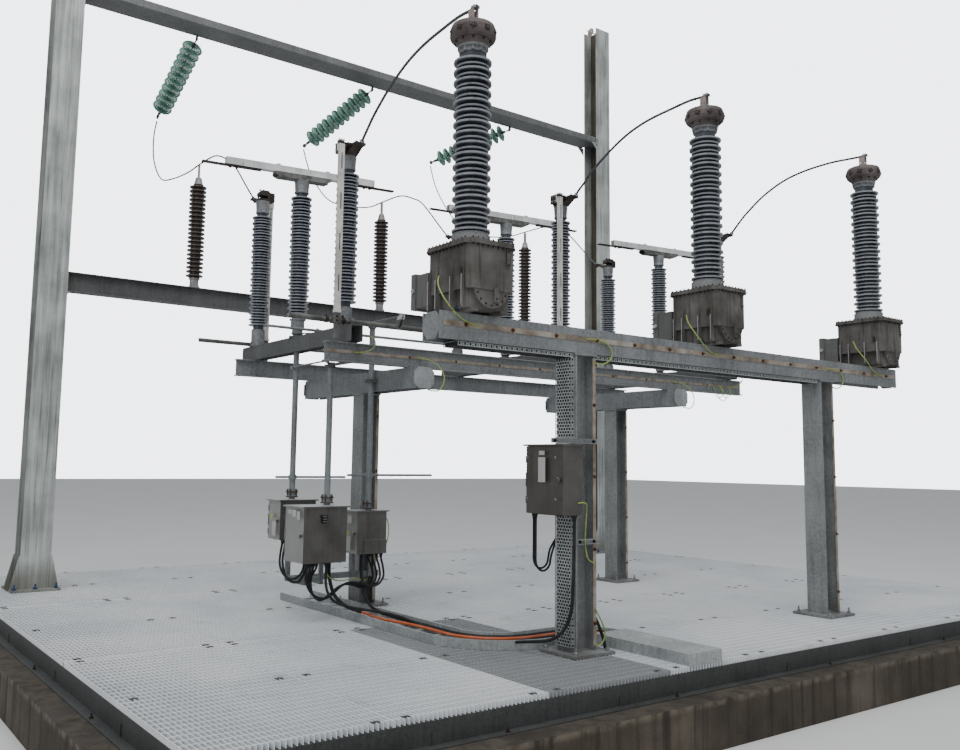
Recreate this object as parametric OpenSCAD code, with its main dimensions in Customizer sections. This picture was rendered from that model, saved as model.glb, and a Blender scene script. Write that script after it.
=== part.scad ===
// Outdoor switchgear bay: a landing gantry, surge arresters, a centre-turning
// disconnector with two earthing switches and three current transformers,
// on a grated deck over a concrete plinth. All sizes in millimetres.
// Origin at the middle of the plinth's underside. X runs along the phases.

/* [Platform] */
// Length of the deck along the phases
deck_l = 11000; // [10900:10:11200]
// Width of the deck across the phases
deck_w = 8840; // [8780:10:9000]
// Height of the concrete plinth
plinth_h = 380; // [300:10:600]
// How far the plinth stands out past the deck edge
ledge = 270; // [150:10:400]
// Thickness of the plinth wall
plinth_wall = 420; // [360:10:600]
// Height of the deck edge channel
edge_h = 160; // [120:5:220]
// Thickness of the edge channel steel
edge_t = 8; // [5:1:12]
// Width of the edge channel flanges
edge_flange = 60; // [40:5:90]
// Width of the outward bottom lip
edge_lip = 80; // [50:5:120]
// Thickness of the grating panels
grating_t = 40; // [25:5:50]
// Width of the outer grating panels
panel_w = 1278; // [1240:1:1320]
// Depth of the front row of grating panels
front_row = 2844; // [2780:1:2880]
// Depth of the middle row of grating panels
middle_row = 3074; // [3040:1:3120]
// Gap between grating panels
panel_gap = 6; // [3:1:12]
// Width of a deck joist
joist_w = 60; // [40:5:80]
// Side of a pier under a joist
pier_w = 220; // [160:10:300]

/* [Gantry] */
// Middle of the left gantry column along the phases
column_left_x = -4855; // [-4900:5:-4800]
// Middle of the right gantry column along the phases
column_right_x = 4785; // [4740:5:4830]
// Row of the gantry columns across the deck
gantry_y = 2865; // [2800:5:2900]
// Height of the columns above the deck
column_h = 9977; // [9000:10:11000]
// Size of the column section
column_w = 345; // [320:5:360]
// Thickness of the column flanges
column_tf = 20; // [12:1:24]
// Side of the column base plates
column_plate = 560; // [540:5:600]
// Underside of the top beam above the deck
top_beam_h = 7680; // [7000:10:8200]
// Width of the top beam
top_beam_w = 405; // [380:5:430]
// Depth of the top beam
top_beam_d = 105; // [90:5:140]
// Top of the lower beam above the deck
low_beam_top = 3950; // [3800:10:4300]
// Depth of the lower beam
low_beam_d = 250; // [200:5:300]
// Width of the lower beam
low_beam_w = 165; // [140:5:180]
// Reach of the gussets beside a column
gusset_w = 95; // [60:5:95]
// Height of the gussets
gusset_h = 390; // [250:10:450]

/* [Phases] */
// Distance between phases
phase_pitch = 3000; // [2960:5:3020]
// Sideways place of the disconnector
switch_x = 130; // [60:5:160]
// Row of the turning posts
switch_y = -115; // [-150:5:-90]
// Distance from a turning post to its contact posts
post_gap = 1070; // [1050:5:1090]
// Row of the current transformers
ct_y = -3515; // [-3560:5:-3480]

/* [Disconnector frame] */
// Places of the two frame posts along the phases
frame_post_x = [-2050, 2010];
// Row of the frame posts
frame_post_y = -275; // [-300:5:-250]
// Size of the frame post section
frame_post_w = 220; // [200:5:230]
// Side of the frame post base plates
frame_plate = 440; // [420:5:460]
// Underside of the crossarms above the deck
crossarm_h = 2365; // [2200:5:2500]
// Depth of the crossarms
crossarm_d = 225; // [200:5:250]
// Reach of the crossarms towards the front
crossarm_front = 1455; // [1420:5:1500]
// Reach of the crossarms towards the back
crossarm_back = 1065; // [1040:5:1120]
// Front beam row
beam_front_y = -1285; // [-1300:5:-1270]
// Back beam row
beam_back_y = 945; // [930:5:960]
// Depth of the frame beams
beam_d = 200; // [180:5:220]
// Width of the frame beams
beam_w = 100; // [90:5:120]
// Length of the frame beams
beam_l = 6620; // [6560:10:6800]
// Depth of a switch base
base_d = 170; // [150:5:200]
// Width of a switch base
base_w = 140; // [130:5:160]
// Thickness of a switch base
base_t = 8; // [6:1:10]

/* [Post insulators] */
// Core radius of a post insulator
core_r = 64; // [55:1:75]
// Shed radius of a post insulator
shed_r = 118; // [105:1:125]
// Number of sheds on a post insulator
shed_count = 20; // [16:1:24]
// Height of the first shed above the switch base
shed_start = 250; // [240:5:280]
// Distance between sheds
shed_pitch = 70; // [64:1:74]
// Height of the head above the switch base
head_h = 1802; // [1780:2:1860]

/* [Main blades] */
// Angle of the open blades from the phase axis
blade_rest = 8.4; // [5:0.1:12]
// Side of the square blade tube
blade_w = 80; // [60:5:90]
// Reach of the blade tube from the turning post
blade_reach = 874; // [820:2:900]
// Reach of the contact bars from the turning post
contact_reach = 1130; // [1110:5:1150]
// Width of a contact bar
contact_w = 60; // [40:5:70]
// Thickness of a contact bar
contact_t = 15; // [10:1:18]
// Height of the cradle channel
cradle_h = 60; // [50:2:70]
// Length of the cradle
cradle_l = 660; // [600:10:720]

/* [Drives] */
// Radius of the drive pipes
pipe_r = 32; // [28:1:34]
// Running clearance round a shaft
running = 0.05; // [0.02:0.01:0.1]
// Crank length of the gang rod
gang_crank = 240; // [220:5:260]
// Radius of the gang rod
gang_r = 16; // [14:1:20]
// Place of the motor pipe
motor_pipe = [-2890, -965];
// Crank length of the motor link
motor_crank = 110; // [95:5:120]
// Height of the motor link above the deck
motor_link_h = 2600; // [2560:5:2640]
// Place of the earthing pipe
earth_pipe = [-2210, -645];
// Crank length of the earthing link
earth_crank = 140; // [120:5:150]
// Sideways place of the earthing blades from their post
earth_dx = 190; // [180:2:200]
// Distance of an earthing shaft outside its post row
earth_dy = 150; // [145:1:156]
// Height of the earthing shafts above the switch base
earth_h = 40; // [36:1:46]
// Radius of the earthing shafts
earth_r = 24; // [18:1:26]
// Width of an earthing blade
earth_blade_w = 60; // [50:2:66]
// Depth of an earthing blade
earth_blade_d = 36; // [30:2:40]
// Height of the hand levers above the deck
lever_h = 1430; // [1380:5:1480]
// Radius of the hand levers
lever_r = 13; // [11:1:16]

/* [Drive cabinets] */
// Thickness of the cabinet walls
cabinet_t = 5; // [3:1:6]
// Overhang of the cabinet roofs
roof_over = 22; // [15:1:26]
// Main cabinet: low corner of the body
main_cab = [-3240, -1195, 593];
// Main cabinet: size of the body
main_cab_size = [460, 410, 540];
// Earthing cabinet: low corner of the body
earth_cab = [-2360, -705, 600];
// Earthing cabinet: size of the body
earth_cab_size = [350, 250, 450];
// Manual cabinet: low corner of the body
manual_cab = [-3085, -330, 753];
// Manual cabinet: size of the body
manual_cab_size = [400, 290, 410];
// Thickness of a cabinet door
door_t = 18; // [14:1:24]
// Gap between a door and its cabinet
door_gap = 0.3; // [0.2:0.1:1]

/* [Current transformers] */
// Places of the two transformer posts along the phases
ct_post_x = [-1820, 1870];
// Size of the transformer post section
ct_post_w = 235; // [220:5:240]
// Side of the transformer post base plates
ct_plate = 460; // [440:5:500]
// Underside of the transformer beam above the deck
ct_beam_h = 2555; // [2400:5:2700]
// Depth of the transformer beam
ct_beam_d = 220; // [200:5:240]
// Width of the transformer beam
ct_beam_w = 240; // [236:2:260]
// Length of the transformer beam
ct_beam_l = 6730; // [6700:10:6900]
// Tank size at the top
tank = [465, 585, 520];
// Lid size
lid = [520, 640, 24];
// Height of the transformer's collar
collar_h = 110; // [90:5:130]
// Number of shed pairs on a transformer
ct_pairs = 17; // [15:1:18]
// Distance from one large shed to the next
ct_pitch = 90; // [84:1:92]
// Large shed radius
ct_shed_r = 160; // [150:1:170]
// Small shed radius
ct_small_r = 138; // [125:1:145]
// Core radius of a transformer insulator
ct_core_r = 104; // [95:1:112]
// Height of a transformer head
ct_head_h = 395; // [350:5:420]

/* [Arresters and strings] */
// Number of sheds on an arrester
arrester_sheds = 22; // [18:1:24]
// Distance between the sheds of an arrester
arrester_pitch = 60; // [54:1:62]
// Shed radius of an arrester
arrester_r = 115; // [100:1:125]
// Number of glass discs in a strain string
disc_count = 11; // [8:1:12]
// Distance between glass discs
disc_pitch = 127; // [110:1:130]
// Radius of a glass disc
disc_r = 150; // [125:1:160]

/* [Hidden] */
$fn = 40;
deck_z = plinth_h + edge_h + grating_t;
frame_z = deck_z - grating_t;
outer_l = deck_l + 2 * ledge;
outer_w = deck_w + 2 * ledge;
crossarm_z = deck_z + crossarm_h;
beam_z = crossarm_z + crossarm_d;
base_z = beam_z + beam_d;
top_z = base_z + base_d;
head_z = top_z + head_h;
ct_z = deck_z + ct_beam_h + ct_beam_d;
low_z = deck_z + low_beam_top;
near_y = switch_y - post_gap;
far_y = switch_y + post_gap;
plate_t = 25;
cap_t = 16;

function phase(i) = (i - 1) * phase_pitch;
function switch_at(i) = phase(i) + switch_x;
function tidy(v) = v / norm(v);
function polar(r, a) = [r * cos(a), r * sin(a), 0];

row_y = [-deck_w / 2, -deck_w / 2 + front_row, -deck_w / 2 + front_row + middle_row, deck_w / 2];
joist_y = [(row_y[0] + row_y[1]) / 2, row_y[1], (row_y[1] + row_y[2]) / 2, row_y[2],
    (row_y[2] + row_y[3]) / 2];
pier_x = [-deck_l / 4, 0, deck_l / 4];
footing_in = 20;
footings = [
    for (x = [column_left_x, column_right_x]) [x, gantry_y, column_plate - footing_in],
    for (x = frame_post_x) [x, frame_post_y, frame_plate - footing_in],
    for (x = ct_post_x) [x, ct_y, ct_plate - footing_in]];
inner_panel_w = (deck_l - 6 * panel_w) / 3;
function column_edge(i) = -deck_l / 2 + min(i, 3) * panel_w
    + max(min(i - 3, 3), 0) * inner_panel_w + max(i - 6, 0) * panel_w;

// A flat-bottomed box from its middle in plan
module block(at, size) translate([at[0] - size[0] / 2, at[1] - size[1] / 2, at[2]]) cube(size);

// A box between two corners
module span(a, b) translate(a) cube(b - a);

// An H outline with its flanges across Y
module h_outline(h, b, tf, tw) {
    square([tw, h], center = true);
    for (s = [-1, 1]) translate([0, s * (h - tf) / 2]) square([b, tf], center = true);
}

module along_x(len) rotate([90, 0, 90]) linear_extrude(len, center = true) children();
module along_y(len) rotate([90, 0, 0]) linear_extrude(len, center = true) children();

// Turns what stands on +Z into the line from p to q
module aim(p, q) {
    d = q - p;
    translate(p) rotate([0, acos(d[2] / norm(d)), atan2(d[1], d[0])]) children();
}

// A rectangular ring, seen from above
module ring(l, w, t, z, h) translate([0, 0, z]) difference() {
    block([0, 0, 0], [l, w, h]);
    block([0, 0, -1], [l - 2 * t, w - 2 * t, h + 2]);
}

module footing_cuts(margin, z, h)
    for (f = footings) block([f[0], f[1], z], [f[2] + 2 * margin, f[2] + 2 * margin, h]);

// A smooth curve through hand-placed points
function bend(p, i, t) = let (
        n = len(p) - 1,
        a = p[max(i - 1, 0)],
        b = p[i],
        c = p[i + 1],
        d = p[min(i + 2, n)])
    0.5 * (2 * b + (c - a) * t + (2 * a - 5 * b + 4 * c - d) * t * t
        + (3 * b - a - 3 * c + d) * t * t * t);
function curve(p, steps) = [
    for (i = [0 : len(p) - 2]) for (k = [0 : steps - 1]) bend(p, i, k / steps), p[len(p) - 1]];

// A round tube along a list of points, with side as a direction off its plane
module tube(p, r, side, sides = 10) {
    n = len(p);
    rings = [for (i = [0 : n - 1]) let (
            t = tidy(p[min(i + 1, n - 1)] - p[max(i - 1, 0)]),
            u = tidy(cross(t, side)),
            v = cross(t, u))
        for (k = [0 : sides - 1]) p[i] + r * (cos(360 * k / sides) * u + sin(360 * k / sides) * v)];
    faces = [
        [for (k = [0 : sides - 1]) k],
        for (i = [0 : n - 2]) for (k = [0 : sides - 1]) let (
            a = i * sides + k,
            b = i * sides + (k + 1) % sides)
            each [[a, a + sides, b + sides], [a, b + sides, b]],
        [for (k = [sides - 1 : -1 : 0]) (n - 1) * sides + k]];
    polyhedron(rings, faces, convexity = 6);
}

module plinth() color("#8a7d6c") {
    ring(outer_l, outer_w, plinth_wall, 0, plinth_h);
    for (f = footings) block([f[0], f[1], 0], [f[2], f[2], deck_z]);
    for (x = pier_x) for (y = joist_y) block([x, y, 0], [pier_w, pier_w, plinth_h]);
}

module deck_frame() color("#8f9698") {
    ring(deck_l, deck_w, edge_t, plinth_h, edge_h);
    ring(deck_l, deck_w, edge_flange, frame_z - edge_t, edge_t);
    ring(deck_l + 2 * edge_lip, deck_w + 2 * edge_lip, edge_lip + edge_flange, plinth_h, edge_t);
    difference() {
        for (y = joist_y) block([0, y, plinth_h], [deck_l - edge_t, joist_w, edge_h]);
        footing_cuts(10, 0, 2 * deck_z);
    }
}

module deck_grating() color("#dfe4e6") difference() {
    for (c = [0 : 8]) for (r = [0 : 2])
        span([column_edge(c) + (c > 0 ? panel_gap / 2 : 0),
             row_y[r] + (r > 0 ? panel_gap / 2 : 0), frame_z],
            [column_edge(c + 1) - (c < 8 ? panel_gap / 2 : 0),
             row_y[r + 1] - (r < 2 ? panel_gap / 2 : 0), deck_z]);
    footing_cuts(5, 0, 2 * deck_z);
}

web_t = 14;
module gantry_column(x) color("#a9b0b2") translate([x, gantry_y, deck_z]) {
    block([0, 0, 0], [column_plate, column_plate, plate_t]);
    translate([0, 0, plate_t]) linear_extrude(column_h - plate_t)
        h_outline(column_w, column_w, column_tf, web_t);
    for (sx = [-1, 1]) for (sy = [-1, 1])
        translate([sx * column_w / 2, sy * (column_w - column_tf) / 2, plate_t])
            rotate([90, 0, 0]) linear_extrude(column_tf, center = true)
                polygon([[0, 0], [sx * gusset_w, 0], [sx * gusset_w, 30], [sx * 12, gusset_h],
                    [0, gusset_h]]);
}
module gantry_column_left() gantry_column(column_left_x);
module gantry_column_right() gantry_column(column_right_x);

top_beam_y = gantry_y + 40;
top_beam_t = 12;
module flat_channel(w, d, t) translate([0, d / 2]) difference() {
    square([w, d], center = true);
    translate([0, t]) square([w - 2 * t, d], center = true);
}
module gantry_top_beam() color("#9aa1a3") translate([0, 0, deck_z + top_beam_h]) {
    left = column_left_x + column_w / 2 + 15;
    right = column_right_x - column_w / 2 - 15;
    translate([(left + right) / 2, top_beam_y, 0]) along_x(right - left)
        flat_channel(top_beam_w, top_beam_d, top_beam_t);
    from = column_left_x + web_t / 2;
    to = column_right_x - web_t / 2;
    translate([(from + to) / 2, gantry_y, 0]) along_x(to - from)
        flat_channel(column_w - 2 * column_tf - 20, top_beam_d - 20, top_beam_t);
}

low_beam_y = gantry_y + 20;
module gantry_lower_beam() color("#7f8688")
    translate([(column_left_x + column_right_x) / 2, low_beam_y, low_z - low_beam_d / 2])
        along_x(column_right_x - column_left_x - web_t) h_outline(low_beam_d, low_beam_w, 12, 9);

shield_l = 240;
module shield_wire_insulator() color("#6d5f55")
    translate([column_right_x - column_w / 2, gantry_y - (column_w - column_tf) / 2,
        deck_z + column_h - 130])
        rotate([0, -90, 0]) {
            cylinder(r = 9, h = shield_l);
            cylinder(r = 26, h = 12);
            translate([0, 0, 95]) rotate_extrude()
                polygon([[0, 0], [30, 0], [34, 28], [75, 36], [78, 52], [40, 60], [28, 82], [0, 82]]);
        }

string_hang_x = [-3050, -110, 2790];
string_hang_y = top_beam_y + top_beam_w / 2 - 20;
string_run = [[-35, 1541, -716], [-458, 1509, -636], [-719, 1492, -382]];
lug_d = 70;
function hang_at(i) = [string_hang_x[i], string_hang_y, deck_z + top_beam_h - lug_d + 20];
function string_end(i) = hang_at(i) + string_run[i];
clamp_r = 34;
module strain_string(i) {
    p = hang_at(i);
    q = string_end(i);
    reach = norm(q - p);
    start = (reach - disc_count * disc_pitch) / 2;
    block([p[0], p[1], p[2] - 20], [16, 60, lug_d]);
    aim(p, q) {
        cylinder(r = 11, h = reach - 20 - (clamp_r + line_eye_r) / 2);
        translate([0, 0, start]) rotate_extrude() polygon([
            [0, 0],
            for (k = [0 : disc_count - 1]) let (z = k * disc_pitch) each [
                [16, z + 8], [24, z + 35], [62, z + 43], [disc_r - 4, z + 33], [disc_r, z + 39],
                [disc_r - 30, z + 65], [46, z + 77], [44, z + 113], [18, z + disc_pitch]],
            [0, disc_count * disc_pitch]]);
        translate([0, 0, start - 60]) cylinder(r = 24, h = 60);
        translate([0, 0, reach - start]) cylinder(r = 24, h = 70);
        translate([0, 0, reach - 20]) rotate([90, 0, 0]) difference() {
            cylinder(r = clamp_r, h = 22, center = true);
            cylinder(r = line_eye_r, h = 24, center = true);
        }
    }
}
line_eye_r = 14;
module strain_strings() color("#7fc4ae") for (i = [0 : 2]) strain_string(i);

arrester_base = 150;
arrester_top = arrester_base + arrester_sheds * arrester_pitch;
terminal_h = 180;
arrester_h = arrester_top + 100 + terminal_h;
module surge_arrester() {
    rotate_extrude() polygon([
        [0, 0], [78, 0], [78, 18], [60, 24], [60, 110], [72, 118], [72, arrester_base],
        for (k = [0 : arrester_sheds - 1]) let (z = arrester_base + k * arrester_pitch) each [
            [68, z + 6], [arrester_r, z + 13], [arrester_r, z + 27], [68, z + 46]],
        [68, arrester_top], [62, arrester_top + 10], [40, arrester_top + 100], [0, arrester_top + 100]]);
    translate([0, 0, arrester_top + 95]) difference() {
        block([0, 0, 0], [14, 60, terminal_h + 5]);
        for (k = [0 : 2]) for (s = [-1, 1])
            translate([0, s * 16, 60 + k * 42]) rotate([0, 90, 0]) cylinder(r = 8, h = 30, center = true);
    }
}
module surge_arresters() color("#5a4a40")
    for (i = [0 : 2]) translate([phase(i), low_beam_y, low_z]) surge_arrester();

// Conductors: stiff bare cable, hung between terminals
wire_r = 11;
seat = 0.3;
arrester_tip = low_z + arrester_h;
jaw_tail = 255;
socket_end = [285, 102];
socket_run = [0.72, 0.694];
socket_l = 60;
end_gap = 2;
function conductor_end(i, y, side, out = end_gap) = let (d = socket_end + out * socket_run)
    [switch_at(i), y + side * d[0], head_z + d[1]];
function drop_start(i) = string_end(i) + [0, 0, -clamp_r - 20];
function drop_top(i) = [phase(i), low_beam_y, arrester_tip + wire_r + 5];
dropper_loops = [
    [[-3110, 4665, 7191], [-3116, 4582, 6787], [-3091, 4271, 6418], [-3060, 3811, 6309],
        [-3021, 3275, 6278]],
    [[-493, 4433, 7047], [-368, 4050, 6553], [-216, 3612, 6360], [-76, 3173, 6268]],
    [[2216, 4527, 7272], [2444, 4208, 6652], [2679, 3753, 6353], [2883, 3241, 6263]]];
module dropper(i) color("#6e7173") tube(curve([
    drop_start(i),
    each dropper_loops[i],
    drop_top(i),
    drop_top(i) + [20, -520, -10],
    drop_top(i) + [50, -860, -130],
    conductor_end(i, far_y, 1) + [-60, 560, 590],
    conductor_end(i, far_y, 1) + [-15, 160, 165],
    conductor_end(i, far_y, 1, 60),
    conductor_end(i, far_y, 1)], 4), wire_r, [1, 0.2, 0], 8);
module dropper_a() dropper(0);
module dropper_b() dropper(1);
module dropper_c() dropper(2);

module disconnector_posts() color("#a3aaac") for (x = frame_post_x) translate([x, frame_post_y, deck_z]) {
    block([0, 0, 0], [frame_plate, frame_plate, plate_t]);
    translate([0, 0, plate_t]) linear_extrude(crossarm_h - plate_t - cap_t)
        rotate(90) h_outline(frame_post_w, frame_post_w, 16, 10);
    block([0, 0, crossarm_h - cap_t], [frame_post_w + 20, frame_post_w + 20, cap_t]);
}

module cut_corner_plate(w, h, c) polygon([
    [-w / 2 + c, -h / 2], [w / 2 - c, -h / 2], [w / 2, -h / 2 + c], [w / 2, h / 2 - c],
    [w / 2 - c, h / 2], [-w / 2 + c, h / 2], [-w / 2, h / 2 - c], [-w / 2, -h / 2 + c]]);
end_t = 12;

module crossarms() color("#9ea5a7") for (x = frame_post_x)
    translate([x, (crossarm_back - crossarm_front) / 2, crossarm_z + crossarm_d / 2]) {
        along_y(crossarm_front + crossarm_back) rotate(90) h_outline(frame_post_w, crossarm_d, 14, 10);
        for (s = [-1, 1]) translate([0, s * ((crossarm_front + crossarm_back) / 2 - end_t / 2), 0])
            along_y(end_t) cut_corner_plate(frame_post_w + 30, crossarm_d, 55);
    }

beam_x = 170;
module disconnector_beams() color("#aab1b3") for (y = [beam_front_y, beam_back_y])
    translate([beam_x, y, beam_z + beam_d / 2]) along_x(beam_l) h_outline(beam_d, beam_w, 12, 8);

base_front = -1455;
base_back = 1235;
spindle_r = 31;
module switch_bases() color("#8d9496") for (i = [0 : 2]) translate([switch_at(i), 0, 0]) difference() {
    span([-base_w / 2, base_front, base_z], [base_w / 2, base_back, top_z]);
    span([-base_w / 2 + base_t, base_front - 1, base_z - 1],
        [base_w / 2 - base_t, base_back + 1, top_z - base_t]);
    translate([0, switch_y, top_z - 2 * base_t]) cylinder(r = spindle_r + 4, h = 3 * base_t);
}

shed_top = shed_start + (shed_count - 1) * shed_pitch + 34;
small_shed_r = shed_r - 16;
post_sheds = [for (k = [0 : shed_count - 1]) let (z = shed_start + k * shed_pitch) each [
    [core_r, z], [shed_r, z + 6], [shed_r, z + 19], [core_r, z + 30],
    if (k < shed_count - 1) each [
        [core_r, z + 36], [small_shed_r, z + 42], [small_shed_r, z + 54], [core_r, z + 64]]]];
post_cap = [[core_r, shed_top + 38], [80, shed_top + 38], [82, shed_top + 54], [77, shed_top + 60],
    [85, head_h - 8], [85, head_h], [0, head_h]];
module contact_posts() color("#77808c") for (i = [0 : 2]) for (y = [near_y, far_y])
    translate([switch_at(i), y, top_z]) rotate_extrude() polygon([
        [0, 0], [95, 0], [95, 16], [80, 20], [80, 205], [core_r, 215], each post_sheds, each post_cap]);

// Fixed contact seen with its mouth to +X and the line terminal to -Y
finger_gap = 10;
contact_z = cradle_h - contact_t;
jaw_r = 60;
shaft_near_y = near_y - earth_dy;
shaft_far_y = far_y + earth_dy;
earth_offset = earth_r + earth_blade_d / 2 + 2;
earth_reach = earth_dy + earth_offset;
module contact_jaw() {
    along_y(2 * jaw_r) polygon([
        [-jaw_r - 10, 0], [jaw_r, 0], [jaw_r, contact_z - finger_gap],
        [-contact_w / 2 - finger_gap, contact_z - finger_gap],
        [-contact_w / 2 - finger_gap, cradle_h + finger_gap], [jaw_r - 10, cradle_h + finger_gap],
        [jaw_r - 2, cradle_h + finger_gap + 10], [jaw_r - 2, 108], [32, 138], [-50, 138],
        [-jaw_r - 10, 116]]);
    rotate([90, 0, 90]) linear_extrude(2 * jaw_r, center = true) polygon([
        [-jaw_r + 5, 0], [-jaw_r + 5, 34], [-jaw_r - 10, 40], [-175, 92], [-jaw_tail, 92],
        [-jaw_tail, 66], [-185, 66], [-jaw_r - 20, 0]]);
    aim([0, -socket_end[0] + socket_l * socket_run[0], socket_end[1] - socket_l * socket_run[1]],
        [0, -socket_end[0], socket_end[1]]) cylinder(r = 22, h = socket_l);
    span([-jaw_r - 50, -earth_reach - 16, cradle_h - 2], [-jaw_r, 40, cradle_h + 10]);
    span([-jaw_r - 80, -78, 14], [-jaw_r - 8, 34, 124]);
    span([-earth_dx - earth_blade_w / 2 - 12, -earth_reach - 16, cradle_h - 2],
        [-jaw_r, -earth_reach + 14, cradle_h + 10]);
}
module contact_jaws() color("#4a3b32") for (i = [0 : 2]) {
    translate([switch_at(i), near_y, head_z]) contact_jaw();
    translate([switch_at(i), far_y, head_z]) rotate(180) contact_jaw();
}

bearing_h = 35;
module rotor_bearings() color("#7a8183") for (i = [0 : 2])
    translate([switch_at(i), switch_y, top_z]) difference() {
    union() {
        cylinder(r = 92, h = 15);
        cylinder(r = 50, h = bearing_h);
    }
    translate([0, 0, -1]) cylinder(r = spindle_r + running, h = bearing_h + 2);
}

// Crank plate from the origin towards an angle, between two bosses that stand 2 proud of it
module crank(angle, r, w, t, boss) {
    cylinder(r = boss, h = t);
    rotate(angle) {
        translate([0, -w / 2, 2]) cube([r, w, t - 4]);
        translate([r, 0, 0]) cylinder(r = w / 2 + 3, h = t);
    }
}

spindle_drop = 20;
crank_z = 44;
crank_t = 12;
gang_rest = -49;
gang_pin_r = 10;
gang_z = top_z + crank_z + crank_t + 4 + gang_r;
module rotor(i) color("#77808c") translate([switch_at(i), switch_y, top_z]) {
    rotate_extrude() polygon([
        [0, -spindle_drop], [spindle_r, -spindle_drop], [spindle_r, bearing_h + seat],
        [60, bearing_h + seat], [60, 100], [76, 104], [76, 190], [90, 194], [90, 208], [core_r, 214],
        each post_sheds, each post_cap]);
    translate([0, 0, crank_z]) crank(gang_rest, gang_crank, 46, crank_t, 66);
    translate(polar(gang_crank, gang_rest) + [0, 0, crank_z + 2])
        cylinder(r = gang_pin_r, h = crank_t + 2 * gang_r + 12);
}
module rotor_a() rotor(0);
module rotor_b() rotor(1);
module rotor_c() rotor(2);

module main_blade(i) color("#d7d9d6") translate([switch_at(i), switch_y, head_z]) rotate(-blade_rest) {
    difference() {
        rotate([90, 0, 0]) linear_extrude(130, center = true) polygon([
            [-cradle_l / 2 + 50, 0], [cradle_l / 2 - 50, 0], [cradle_l / 2, 26], [cradle_l / 2, cradle_h],
            [-cradle_l / 2, cradle_h], [-cradle_l / 2, 26]]);
        for (s = [-1, 1])
            span([s > 0 ? 70 : -cradle_l / 2 - 1, -57, 8],
                [s > 0 ? cradle_l / 2 + 1 : -70, 57, cradle_h - 8]);
    }
    difference() {
        span([-blade_reach, -blade_w / 2, cradle_h], [blade_reach, blade_w / 2, cradle_h + blade_w]);
        span([-blade_reach - 1, -blade_w / 2 + 4, cradle_h + 4],
            [blade_reach + 1, blade_w / 2 - 4, cradle_h + blade_w - 4]);
    }
    for (s = [-1, 1]) {
        span([s > 0 ? cradle_l / 2 + 150 : -contact_reach, -contact_w / 2, contact_z],
            [s > 0 ? contact_reach : -cradle_l / 2 - 150, contact_w / 2, cradle_h]);
        block([s * (cradle_l / 2 - 40), 0, cradle_h], [40, blade_w + 24, blade_w + 10]);
        for (d = [50, 120]) translate([s * (blade_reach - d), 0, contact_z - 16]) cylinder(r = 14, h = 20);
    }
}
module main_blade_a() main_blade(0);
module main_blade_b() main_blade(1);
module main_blade_c() main_blade(2);

function gang_pin(i) = [switch_at(i), switch_y, 0] + polar(gang_crank, gang_rest);
gang_left = 587;
gang_right = 350;
module gang_rod() color("#8b9193") difference() {
    union() {
        from = gang_pin(0)[0] - gang_left;
        to = gang_pin(2)[0] + gang_right;
        translate([from, gang_pin(0)[1], gang_z]) rotate([0, 90, 0]) cylinder(r = gang_r, h = to - from);
        for (i = [0 : 2]) translate([0, 0, gang_z - gang_r] + gang_pin(i)) cylinder(r = 26, h = 2 * gang_r);
    }
    for (i = [0 : 2]) translate([0, 0, gang_z - 2 * gang_r] + gang_pin(i))
        cylinder(r = gang_pin_r + (i == 0 ? running : 0.5), h = 4 * gang_r);
}

// Drive pipes and their hand levers, each from the roof of its box
drive_crank_z = deck_z + motor_link_h;
drive_rest = 221;
drive_pin_r = 8;
link_t = 12;
module hand_lever(h, from, to) translate([from, 0, h]) rotate([0, 90, 0])
    cylinder(r = lever_r, h = to - from);
module pipe_collar(z) {
    translate([0, 0, z]) cylinder(r = 55, h = 14);
    translate([0, 0, z + 14]) cylinder(r = 44, h = 70);
    for (k = [0 : 3]) rotate(45 + 90 * k) translate([45, 0, z - 6]) cylinder(r = 6, h = 30);
}
module drive_pin() translate(polar(motor_crank, drive_rest) + [0, 0, drive_crank_z + 1])
    cylinder(r = drive_pin_r, h = crank_t + link_t + 12);

gear_h = 150;
lever_step = 16;
module drive_pipe_main() color("#b4babb") translate([switch_at(0), switch_y, 0]) {
    from = deck_z + manual_cab[2] + gear_h + seat;
    translate([0, 0, from]) cylinder(r = pipe_r, h = top_z - spindle_drop - from);
    translate([0, 0, top_z - spindle_drop - 14]) cylinder(r = 55, h = 14);
    pipe_collar(deck_z + manual_cab[2] + manual_cab_size[2] + 40);
    translate([0, 0, deck_z + lever_h - lever_step]) hand_lever(0, -200, 660);
    translate([0, 0, deck_z + lever_h - lever_step - 25]) cylinder(r = 44, h = 50);
    translate([0, 0, drive_crank_z]) crank(drive_rest, motor_crank, 40, crank_t, 46);
    drive_pin();
}
module motor_pipe() color("#b4babb") translate([motor_pipe[0], motor_pipe[1], 0]) {
    from = deck_z + main_cab[2] + 2 * gear_h + seat;
    translate([0, 0, from]) cylinder(r = pipe_r, h = drive_crank_z + crank_t - from);
    pipe_collar(deck_z + main_cab[2] + main_cab_size[2] + 40);
    translate([0, 0, drive_crank_z]) crank(drive_rest, motor_crank, 40, crank_t, 46);
    drive_pin();
}
module motor_link() color("#8b9193") {
    a = [switch_at(0), switch_y, drive_crank_z + crank_t + 1] + polar(motor_crank, drive_rest);
    b = [motor_pipe[0], motor_pipe[1], drive_crank_z + crank_t + 1] + polar(motor_crank, drive_rest);
    d = b - a;
    difference() {
        translate(a) rotate(atan2(d[1], d[0])) {
            translate([0, -15, 0]) cube([norm(d), 30, link_t]);
            for (x = [0, norm(d)]) translate([x, 0, 0]) cylinder(r = 22, h = link_t);
        }
        translate(a - [0, 0, 1]) cylinder(r = drive_pin_r + running, h = link_t + 2);
        translate(b - [0, 0, 1]) cylinder(r = drive_pin_r + 1, h = link_t + 2);
    }
}

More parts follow.
